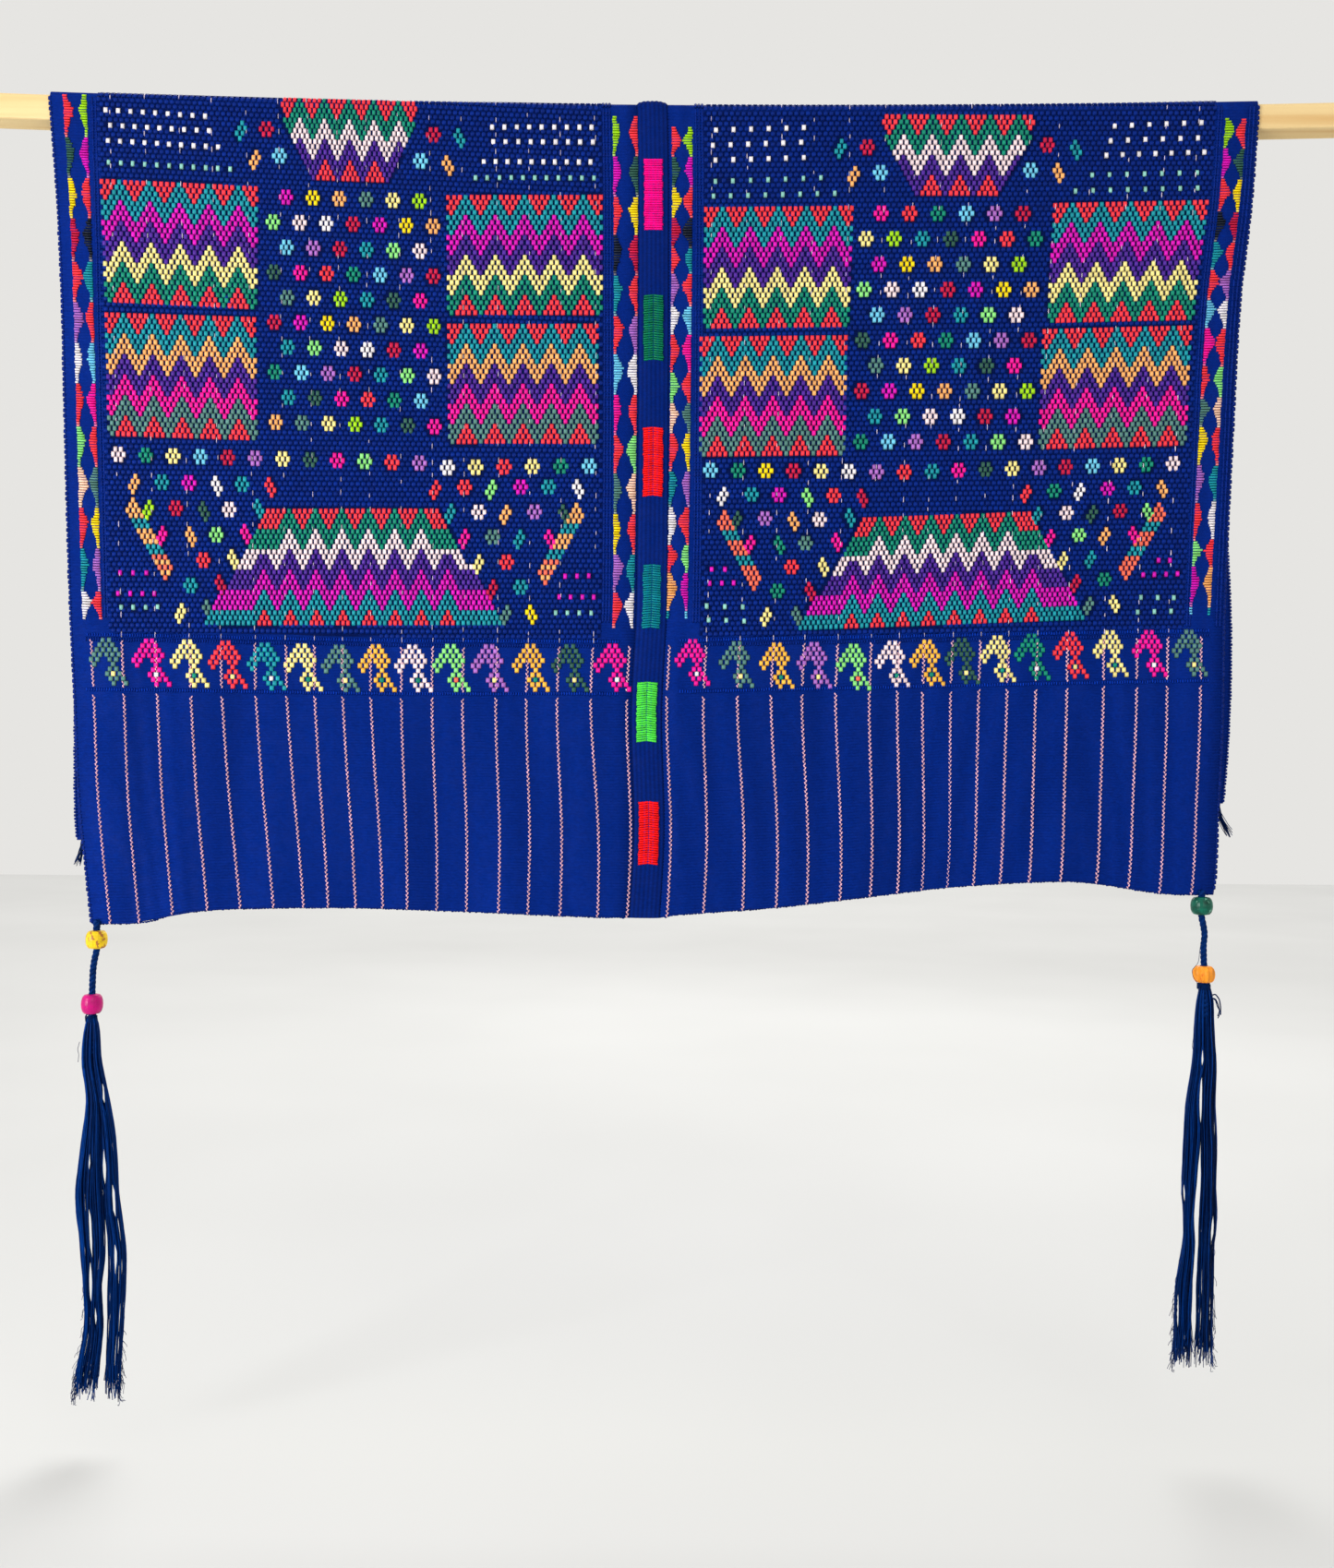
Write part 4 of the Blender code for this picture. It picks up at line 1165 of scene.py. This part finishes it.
JOIN_RISE = 0.0021
JOIN_COLUMNS = 14
JOIN_OVERHANG = 0.0009    # the ridge laps over the panels' edges
JOIN_CLEARANCE = 0.0003
Block = namedtuple("Block", "yarn top bottom reach halves")
JOIN_BLOCKS = (Block("seam_pink", -0.0314, -0.0846, 0.62, (0,)),
               Block("seam_green", -0.1329, -0.1820, 0.64, (-1, 1)),
               Block("seam_red", -0.2320, -0.2835, 0.64, (-1, 1)),
               Block("seam_teal", -0.3346, -0.3821, 0.58, (-1, 1)),
               Block("seam_light_green", -0.4225, -0.4671, 0.64, (-1, 1)),
               Block("seam_red", -0.5117, -0.5587, 0.64, (-1, 1)))
JOIN_PAINTED_RIB_SHADE = (0.55, 0.90)     # painted shade: the ridge's tone between its ribs and on them, darker between them
# Painted shade along the ridge's edges and under it
JOIN_PAINTED_EDGE_SHADE = 0.35
JOIN_ROWS = (300, 150)        # rows of faces along the front fall and the back fall
SATIN_PITCH = 0.0017


def join_point(across, down):
    """X, down and lift of a place on the ridge's outer face; across is -1 to 1."""
    level = np.where(down > 0, CORNER - down, CORNER + TOP_LENGTH + down)
    centre = read_table(SEAM, "x", np.where((down < 0) & (down > -TOP_LENGTH), 0.01, level))
    x = centre + across * (JOIN_WIDTH / 2 + JOIN_OVERHANG)
    return x, down, FACE + JOIN_CLEARANCE + JOIN_RISE * (1 - np.abs(across) ** 3.5)


def make_join(material):
    """The raised seam, ribbed lengthwise, from the front hem over the rod to the back hem."""
    across = np.linspace(-1, 1, JOIN_COLUMNS + 1)
    ribs = np.where(np.arange(JOIN_COLUMNS + 1) % 2, 0.00025, -0.00015) * (np.abs(across) < 0.99)
    inner_edge = JOIN_WIDTH / (JOIN_WIDTH + 2 * JOIN_OVERHANG)
    under_across = inner_edge * np.array([1.0, 1.0, -1.0, -1.0])
    under_lift = np.array([FACE, -FACE, -FACE, FACE])
    front = -float(read_table(HEMS, "front", 0.0)) + CORNER
    back = -float(read_table(HEMS, "back", 0.0)) + CORNER + TOP_LENGTH
    downs = np.concatenate([np.linspace(front, 0.0, JOIN_ROWS[0], endpoint=False),
                            np.linspace(0.0, -TOP_LENGTH, OVER_ROWS, endpoint=False),
                            np.linspace(-TOP_LENGTH, -back, JOIN_ROWS[1])])
    rng = np.random.default_rng(SEED + 31)
    rows = []
    for down in downs:
        x, place, lift = join_point(across, np.full_like(across, down))
        waver = 0.00012 * np.sin(down * 2 * math.pi / 0.0044) + rng.normal(0, 0.00003, len(across))
        outer = surface(x, place, lift + ribs + waver * (np.abs(across) < 0.99))
        x, place, lift = join_point(under_across, np.full(4, down))
        rows.append(np.concatenate([outer, surface(x, place, under_lift)]))
    grid = np.stack(rows)
    count, columns = grid.shape[:2]
    numbers = np.arange(count * columns).reshape(count, columns)
    faces = list(zip(*skin(numbers)))
    faces += [tuple(numbers[0][::-1]), tuple(numbers[-1])]
    points = grid.reshape(-1, 3)
    # Painted shade: darker between the ribs than on them, darkest at the edges and underneath.
    ridge_painted_shade = np.where(np.arange(JOIN_COLUMNS + 1) % 2, JOIN_PAINTED_RIB_SHADE[1], JOIN_PAINTED_RIB_SHADE[0])
    ridge_painted_shade[[0, -1]] = JOIN_PAINTED_EDGE_SHADE
    ridge_painted_shade = np.tile(np.concatenate([ridge_painted_shade, np.full(4, JOIN_PAINTED_EDGE_SHADE)]), count)
    thing = new_mesh("join_ridge", points, faces, material, ridge_painted_shade[:, None] * np.ones(3))
    thing.data.set_sharp_from_angle(angle=math.radians(50))
    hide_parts("join_strip")
    return thing


def make_join_blocks(material):
    """Satin blocks on the seam: threads right across, or from each side to its middle."""
    rng = np.random.default_rng(SEED + 30)
    batch = Batch()
    for block in JOIN_BLOCKS:
        count = int((block.top - block.bottom) / SATIN_PITCH)
        level = block.top + (block.bottom - block.top) * (np.arange(count) + 0.5) / count
        for half in block.halves:
            reach = block.reach + rng.uniform(-0.035, 0.035, count)
            x, down, _ = join_point(half * reach / 2, down_at(0.0, level))
            length = reach * (JOIN_WIDTH / 2 + JOIN_OVERHANG) * (1.04 if half else 2.0)
            shade = uneven(rng, linear(block.yarn), count=count)
            size = (length[:, None], 0.00105, rng.uniform(0.0008, 0.0010, (count, 1)))
            batch.sew(FLOAT, x, down, size, shade, lean=0.12 * half,
                      lift=FACE + JOIN_CLEARANCE + JOIN_RISE * 0.96, dark=0.7, light=0.0)
    thing = batch.build("join_blocks", material)
    return thing


# Selvedges

LOOP_PITCHES = {"front": 0.0039, "back": 0.0026}
HEM_LOOP_STEP = 0.0054        # as a share of the panel's width


def make_selvedges(material):
    """Weft loops along the outer edges of both falls."""
    rng = np.random.default_rng(SEED + 40)
    batch = Batch()
    for side in (-1, 1):
        for fall in ("front", "back"):
            hem = float(read_table(HEMS, fall, float(side)))
            pitch = LOOP_PITCHES[fall]
            level = np.arange(0.012, hem + 0.002, -pitch)
            x = panel_x(level, side, 1.0, fall)
            point, right, downward, outward = surface_frame(x, down_at(x, level, fall))
            shade = uneven(rng, linear("blue"), 0.8, 1.15, len(x))
            size = rng.uniform(0.85, 1.15, (len(x), 1))
            batch.add(BUMP, point - right * side * 0.0006, downward * pitch * 1.25, outward * 0.0009,
                      right * side * 0.0021 * size, shade, dark=0.5, light=0.0)
            add_hem_loops(batch, side, fall, rng)
    thing = batch.build("selvedge_loops", material)


def add_hem_loops(batch, side, fall, rng):
    """Warp loops along a hem."""
    share = np.arange(0.012, 0.990, HEM_LOOP_STEP)
    share = share + rng.normal(0, 0.0004, len(share))
    level = read_table(HEMS, fall, side * share)
    x = panel_x(level, side, share, fall)
    point, right, downward, outward = surface_frame(x, down_at(x, level, fall))
    if fall == "back":
        downward = -downward
    shade = uneven(rng, linear("blue"), 0.6, 1.1, len(x))
    size = rng.uniform(0.7, 1.2, (len(x), 1))
    batch.add(BUMP, point - downward * 0.0005, right * 0.0031, outward * 0.0009, downward * 0.0012 * size,
              shade, dark=0.5, light=0.0)


# Tassels

Stem = namedtuple("Stem", "level x radius")
LEFT_STEM = [
    Stem(-0.7060, -0.4144, 0.0074), Stem(-0.7020, -0.4148, 0.0072), Stem(-0.6930, -0.4148, 0.0058),
    Stem(-0.6850, -0.4148, 0.0038), Stem(-0.6744, -0.4150, 0.0030), Stem(-0.6580, -0.4150, 0.0024),
    Stem(-0.6500, -0.4148, 0.0024), Stem(-0.6402, -0.4144, 0.0024), Stem(-0.6320, -0.4132, 0.0024),
    Stem(-0.6262, -0.4120, 0.0024), Stem(-0.6080, -0.4120, 0.0026),
]
RIGHT_STEM = [
    Stem(-0.6700, 0.4174, 0.0070), Stem(-0.6660, 0.4174, 0.0070), Stem(-0.6580, 0.4174, 0.0062),
    Stem(-0.6530, 0.4175, 0.0046), Stem(-0.6449, 0.4175, 0.0040), Stem(-0.6306, 0.4175, 0.0024),
    Stem(-0.6230, 0.4172, 0.0024), Stem(-0.6160, 0.4172, 0.0023), Stem(-0.6081, 0.4178, 0.0023),
    Stem(-0.6010, 0.4168, 0.0024), Stem(-0.5945, 0.4155, 0.0024), Stem(-0.5792, 0.4155, 0.0026),
]
Locks = namedtuple("Locks", "level a_left a_right b_left b_right half_depth")
LEFT_LOCKS = [
    Locks(-0.9600, -0.4265, -0.4100, -0.4030, -0.3915, 0.0080),
    Locks(-0.9360, -0.4240, -0.4070, -0.4030, -0.3910, 0.0080),
    Locks(-0.9080, -0.4195, -0.4045, -0.4020, -0.3895, 0.0080),
    Locks(-0.8800, -0.4200, -0.4060, -0.4020, -0.3880, 0.0080),
    Locks(-0.8500, -0.4225, -0.4035, -0.4020, -0.3880, 0.0085),
    Locks(-0.8100, -0.4265, -0.4055, -0.4055, -0.3935, 0.0085),
    Locks(-0.7700, -0.4225, -0.4075, -0.4075, -0.3960, 0.0080),
    Locks(-0.7380, -0.4190, -0.4095, -0.4095, -0.4015, 0.0070),
    Locks(-0.7100, -0.4225, -0.4140, -0.4140, -0.4075, 0.0060),
    Locks(-0.6930, -0.4220, -0.4145, -0.4145, -0.4085, 0.0055),
    Locks(-0.6830, -0.4205, -0.4145, -0.4145, -0.4095, 0.0045),
    Locks(-0.6750, -0.4180, -0.4150, -0.4150, -0.4120, 0.0025),
]
RIGHT_LOCKS = [
    Locks(-0.9300, 0.3955, 0.4105, 0.4120, 0.4265, 0.0070),
    Locks(-0.9000, 0.3970, 0.4105, 0.4135, 0.4260, 0.0075),
    Locks(-0.8700, 0.3980, 0.4110, 0.4135, 0.4270, 0.0075),
    Locks(-0.8400, 0.4030, 0.4125, 0.4150, 0.4270, 0.0075),
    Locks(-0.8200, 0.4035, 0.4115, 0.4150, 0.4290, 0.0075),
    Locks(-0.7950, 0.4020, 0.4135, 0.4165, 0.4280, 0.0080),
    Locks(-0.7650, 0.4030, 0.4160, 0.4160, 0.4285, 0.0080),
    Locks(-0.7350, 0.4045, 0.4160, 0.4160, 0.4270, 0.0075),
    Locks(-0.7050, 0.4090, 0.4180, 0.4180, 0.4275, 0.0070),
    Locks(-0.6750, 0.4105, 0.4180, 0.4180, 0.4255, 0.0060),
    Locks(-0.6580, 0.4120, 0.4180, 0.4180, 0.4250, 0.0050),
    Locks(-0.6460, 0.4145, 0.4180, 0.4180, 0.4220, 0.0035),
]

# Where light shows between the locks
Slot = namedtuple("Slot", "x top bottom width")
SLOTS = {
    -1: (Slot(-0.4060, -0.7250, -0.7450, 0.0012), Slot(-0.4050, -0.7765, -0.8020, 0.0020),
         Slot(-0.4160, -0.7765, -0.7890, 0.0010), Slot(-0.4150, -0.8180, -0.8530, 0.0020),
         Slot(-0.4145, -0.8570, -0.8930, 0.0025), Slot(-0.3975, -0.8005, -0.8290, 0.0020),
         Slot(-0.3960, -0.8420, -0.8670, 0.0020), Slot(-0.4105, -0.8920, -0.9090, 0.0013)),
    1: (Slot(0.4170, -0.6935, -0.7085, 0.0018), Slot(0.4160, -0.7135, -0.7510, 0.0020),
        Slot(0.4255, -0.8200, -0.8395, 0.0014), Slot(0.4040, -0.7935, -0.8100, 0.0012),
        Slot(0.4000, -0.8740, -0.9050, 0.0010)),
}

# Loops and threads that have worked loose: thickness, then places (x, level)
LOOSE = {
    -1: ((0.0006, ((-0.4160, -0.6715), (-0.4190, -0.6755), (-0.4185, -0.6800), (-0.4160, -0.6825))),
         (0.0002, ((-0.4230, -0.6945), (-0.4245, -0.7000), (-0.4235, -0.7040), (-0.4240, -0.7095)))),
    1: ((0.0005, ((0.4205, -0.6545), (0.4255, -0.6525), (0.4285, -0.6565), (0.4295, -0.6620),
                  (0.4295, -0.6680))),
        (0.0004, ((0.4205, -0.6550), (0.4255, -0.6560), (0.4275, -0.6605), (0.4285, -0.6650),
                  (0.4270, -0.6690))),
        (0.0004, ((0.4205, -0.6550), (0.4250, -0.6565), (0.4265, -0.6615), (0.4290, -0.6660),
                  (0.4270, -0.6705))),
        (0.0002, ((0.4165, -0.6000), (0.4130, -0.6180), (0.4120, -0.6290), (0.4070, -0.6345),
                  (0.4080, -0.6395), (0.4135, -0.6475))),
        (0.0002, ((0.4115, -0.6710), (0.4085, -0.6835), (0.4075, -0.6920), (0.4095, -0.6975),
                  (0.4085, -0.7100)))),
}
NECKS = {-1: (-0.6755, -0.6800), 1: (-0.6450, -0.6490)}     # where the binding starts and ends
BINDING_TURNS = 5
TWIST_LENGTH = 0.0105     # of one turn of the stem's yarns
PLIES = 3
LOCK_COLUMNS = {"a": 3, "b": 2}   # locks across each half of a tassel
DEPTH_ROWS = 3                    # locks from its front to its back
LOCK_PLACES = [(half, column, row) for half, columns in LOCK_COLUMNS.items()
               for column in range(columns) for row in range(DEPTH_ROWS)]
THREADS_PER_LOCK = 14
THREAD_POINTS = 44
THREAD_RADIUS = 0.00055
THREAD_TONES = (0.30, 1.70)
TASSEL_LEAN = 0.41        # how far outward the locks shift for each metre of depth
END_SPREAD = 0.012
FRAY_LENGTH = 0.022       # the frayed lowest part of each thread
FRAY_SPREAD = 0.0014
STRAYS = 70


def add_tube(batch, x, y, level, radius, colour, sides=3):
    """A round tube through places; radius is one number or one a place."""
    path = np.stack(np.broadcast_arrays(x, y, level), axis=1).astype(float)
    radius = np.broadcast_to(radius, len(path))
    forward = np.gradient(path, axis=0)
    forward /= np.linalg.norm(forward, axis=1, keepdims=True)
    helper = np.where(np.abs(forward[:, 1:2]) > 0.9, [[1.0, 0, 0]], [[0, 1.0, 0]])
    first = np.cross(forward, helper)
    first /= np.linalg.norm(first, axis=1, keepdims=True)
    second = np.cross(forward, first)
    angles = 2 * math.pi * np.arange(sides) / sides
    rings = (path[:, None] + radius[:, None, None] * (
        first[:, None] * np.cos(angles)[None, :, None] + second[:, None] * np.sin(angles)[None, :, None]))
    numbers = np.arange(len(path) * sides).reshape(-1, sides)
    a, b, c, d = skin(numbers)
    faces = [np.stack([a, b, c], axis=1), np.stack([a, c, d], axis=1)]
    last = numbers[-1, 0]
    for side in range(1, sides - 1):
        faces.append(np.array([[0, side + 1, side], [last, last + side, last + side + 1]]))
    points = rings.reshape(-1, 3)
    batch.add_mesh(points, np.concatenate(faces), np.tile(colour, (len(points), 1)))


def open_slots(x, level, slots):
    """A thread's x, moved aside where a slot opens between the locks."""
    for slot in slots:
        share = (slot.top - level) / (slot.top - slot.bottom)
        inside = (share > 0) & (share < 1)
        if not inside.any():
            continue
        side = math.copysign(1.0, np.mean(x[inside] - slot.x))
        half = (slot.width * 0.35 + THREAD_RADIUS) * np.sin(math.pi * np.clip(share, 0, 1)) ** 0.6
        beside = np.maximum((x - slot.x) * side, 0.0)
        moved = slot.x + side * (half + beside * 2 / 3)
        x = np.where(inside & (beside < 3 * half), moved, x)
    return x


def add_threads(batch, table, slots, depth, lean, rng):
    """Fine threads that hang in locks, wavering, with uneven frayed ends."""
    for number, (half, column, row) in enumerate(LOCK_PLACES):
        end = table[0].level + END_SPREAD * (0.5 + 0.5 * math.sin(2.4 * number))
        for _ in range(THREADS_PER_LOCK):
            last = end + rng.uniform(-0.005, 0.008)
            level = np.linspace(table[-1].level, last, THREAD_POINTS)
            left = read_table(table, half + "_left", level)
            right = read_table(table, half + "_right", level)
            half_depth = read_table(table, "half_depth", level)
            turn, out = rng.uniform(0, 2 * math.pi), math.sqrt(rng.uniform(0, 1))
            hang = smooth_step((table[-1].level - level) / 0.05)
            spread = out * (0.46 + 0.20 * hang)
            sway = 0.00035 * hang * np.sin(level * rng.uniform(60, 120) + rng.uniform(0, 6))
            width = (right - left) / LOCK_COLUMNS[half]
            x = left + (column + 0.5 + spread * math.cos(turn)) * width
            x = np.clip(x, left + THREAD_RADIUS, right - THREAD_RADIUS) + sway
            fray = np.clip((last + FRAY_LENGTH - level) / FRAY_LENGTH, 0, 1) ** 2
            x = x + fray * rng.normal(0, FRAY_SPREAD)
            y = depth + ((row + 0.5 + spread * math.sin(turn)) * 2 / DEPTH_ROWS - 1) * half_depth
            y = y + 0.7 * sway
            shade = linear("tassel_blue") * rng.uniform(*THREAD_TONES)
            radius = THREAD_RADIUS * rng.uniform(0.8, 1.1) * np.linspace(1.0, 0.6, THREAD_POINTS)
            add_tube(batch, open_slots(x, level, slots) + lean * (y - depth), y, level, radius, shade)


def add_loose(batch, side, depth):
    """Loops and single threads that stand away from the cord and the head."""
    for number, (radius, places) in enumerate(LOOSE[side]):
        x, level = np.array(places).T
        at = np.linspace(0, 1, len(x))
        share = np.linspace(0, 1, 7 * len(x))
        path = np.stack([np.interp(share, at, x), np.full(len(share), depth - 0.002 - 0.0006 * number),
                         np.interp(share, at, level)], axis=1)
        for _ in range(4):
            path[1:-1] = (path[:-2] + 2 * path[1:-1] + path[2:]) / 4
        add_tube(batch, *path.T, radius, linear("tassel_blue") * 0.5, 4)


def add_strays(batch, table, depth, lean, rng):
    """Thin loose fibres that curl away from the tassel, mostly near its end."""
    lowest = table[0].level
    for number in range(STRAYS):
        start = lowest + abs(rng.normal(0, 0.035)) + 0.008
        side = rng.choice((-1, 1))
        name = "a_left" if side < 0 else "b_right"
        length = rng.uniform(0.012, 0.035)
        share = np.linspace(0, 1, 14)
        level = start - share * length * 0.8
        level = np.maximum(level, lowest - 0.004)
        away = 0.0040 * share ** 1.5 * rng.uniform(0.0, 1.2) - 0.0015
        x = read_table(table, name, level) + side * away + 0.0010 * np.sin(share * rng.uniform(4, 11))
        y = depth + rng.uniform(-0.006, 0.006) + 0.001 * np.sin(share * 5 + number)
        x = x + lean * (y - depth)
        add_tube(batch, x, y, level, 0.0002, linear("tassel_blue") * 0.6)


def add_stem(batch, table, depth, top, rng):
    """Three yarns twisted round each other, opening out into the head."""
    for ply in range(PLIES):
        level = np.arange(top, table[0].level, -0.0007)
        radius = read_table(table, "radius", level)
        turn = (level / TWIST_LENGTH + ply / PLIES) * 2 * math.pi
        x = read_table(table, "x", level) + radius * 0.50 * np.cos(turn)
        y = depth + radius * 0.50 * np.sin(turn)
        shade = linear("tassel_blue") * rng.uniform(0.6, 0.9)
        add_tube(batch, x, y, level, np.minimum(radius * 0.58, 0.0019), shade, 6)


def add_binding(batch, table, depth, top, bottom):
    """Thread wound round the neck."""
    share = np.linspace(0, 1, BINDING_TURNS * 12)
    level = top + (bottom - top) * share
    radius = read_table(table, "radius", level) + 0.0004
    turn = share * BINDING_TURNS * 2 * math.pi
    x = read_table(table, "x", level) + radius * np.cos(turn)
    add_tube(batch, x, depth + radius * np.sin(turn), level, 0.0005, linear("tassel_blue") * 0.5, 5)


def make_tassel(side, material):
    """A tassel's locks of threads, and its cord with the neck's binding."""
    rng = np.random.default_rng(SEED + 50 + side)
    stem, locks = (LEFT_STEM, LEFT_LOCKS) if side < 0 else (RIGHT_STEM, RIGHT_LOCKS)
    depth = float(fold_depth(FRONT_FOLDS, side, LOWEST_LEVEL)) - PACKED_STANDOFF
    name = f"tassel_{SIDE_NAMES[side]}"
    threads, cord = Batch(), Batch()
    lean = side * TASSEL_LEAN
    add_threads(threads, locks, SLOTS[side], depth, lean, rng)
    add_strays(threads, locks, depth, lean, rng)
    hem = float(read_table(HEMS, "front", float(side)))
    add_stem(cord, stem, depth, hem + 0.003, rng)
    add_loose(cord, side, depth)
    add_binding(cord, stem, depth, *NECKS[side])
    tassel = threads.build(name + "_threads", material)
    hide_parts(name)
    stem_piece = cord.build(name + "_cord", material)


TUFT_THREADS = 22
Tuft = namedtuple("Tuft", "name x z lean length")
TUFTS = [
    Tuft("tuft_back_left", -0.4345, -0.5480, -0.0030, 0.017),
    Tuft("tuft_back_right", 0.4365, -0.5135, 0.0080, 0.023),
]


def make_tuft(tuft, material):
    """Frayed ends at a corner of the back fall."""
    rng = np.random.default_rng(SEED + int(abs(tuft.x) * 1e4))
    depth = float(fold_depth(BACK_FOLDS, math.copysign(1, tuft.x), tuft.z)) + PACKED_STANDOFF
    batch = Batch()
    for thread in range(TUFT_THREADS):
        share = np.linspace(0, 1, 12)
        turn, out = rng.uniform(0, 2 * math.pi), rng.uniform(0, 1)
        fan = 0.0006 + 0.0028 * out * share
        x = tuft.x + tuft.lean * share ** 2 + fan * math.cos(turn) + 0.0003 * np.sin(share * 9 + thread)
        y = depth + fan * math.sin(turn) * 0.8
        level = tuft.z + 0.003 - share * (tuft.length + 0.003) * rng.uniform(0.7, 1.0)
        add_tube(batch, x, y, level, 0.0003, linear("tassel_blue") * rng.uniform(0.3, 0.9))
    piece = batch.build(tuft.name + "_threads", material)
    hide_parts(tuft.name)


# Room


def make_camera():
    data = bpy.data.cameras.new("camera")
    data.lens = CAMERA_LENS
    data.sensor_width = 36.0
    camera = add_object("camera", data)
    camera.location = CAMERA_PLACE
    camera.rotation_euler = (math.pi / 2, CAMERA_ROLL, 0.0)
    bpy.context.scene.camera = camera


def add_light(name, place, target, size, power, spread):
    data = bpy.data.lights.new(name, "AREA")
    data.size = size
    data.energy = power
    data.spread = math.radians(spread)
    light = add_object(name, data)
    light.location = place
    light.rotation_euler = (Vector(target) - Vector(place)).to_track_quat("-Z", "Y").to_euler()


def make_room():
    """A pale floor under soft, even light."""
    look = Look("pale_floor", 0.9)
    tone = look.ramp(look.noise(1.5, 2.0), 0.0, 1.0)
    corners = [(x * FLOOR_HALF, y * FLOOR_HALF, FLOOR_LEVEL) for x, y in ((-1, -1), (1, -1), (1, 1), (-1, 1))]
    mesh = bpy.data.meshes.new("floor")
    mesh.from_pydata(corners, [], [(0, 1, 2, 3)])
    mesh.materials.append(look.finish(look.mixed(tone, *FLOOR_TONES)))
    floor = add_object("floor", mesh)
    world = bpy.data.worlds.new("room")
    world.use_nodes = True
    background = world.node_tree.nodes["Background"]
    background.inputs["Color"].default_value = ROOM_LIGHT
    background.inputs["Strength"].default_value = ROOM_STRENGTH
    bpy.context.scene.world = world
    for light in LIGHTS:
        add_light(*light)
    bpy.context.scene.view_settings.view_transform = "Standard"


def main():
    """The camera, the room and every piece."""
    make_camera()
    make_room()
    cloth = cloth_material("blue_cloth", 0.0004)
    ridge = cloth_material("seam_cloth", 0.0002)
    yarn = yarn_material("brocade_yarn", 0.38, 0.12)
    satin = yarn_material("satin_yarn", 0.36, 0.12)
    dull = yarn_material("ground_yarn", 0.5, 0.08)
    tassel = yarn_material("tassel_yarn", 0.5, 0.04)

    brocade = Brocade()
    for make in (make_blocks, make_bowls, make_bowl_sprays, make_fields, make_flower_rows,
                 make_steps, make_corners, make_serpents, make_birds, make_dots):
        make(brocade)
    stitches, taken = make_coloured_stitches(brocade, yarn)
    make_borders(satin)
    make_selvedges(dull)
    for side, stitched in zip((-1, 1), stitches):
        panel = make_panel(side, cloth)
        ground = make_ground(side, taken, dull)
        stripes = make_stripes(side, taken, yarn)
    join = make_join(ridge)
    blocks = make_join_blocks(satin)
    for side in (-1, 1):
        make_tassel(side, tassel)
    for tuft in TUFTS:
        make_tuft(tuft, tassel)
    looks = {name: bead_material(*look) for name, look in BEAD_LOOKS.items()}
    looks["rod"] = wood_material()
    for name, material in looks.items():
        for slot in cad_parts[name].material_slots:
            slot.material = material


main()
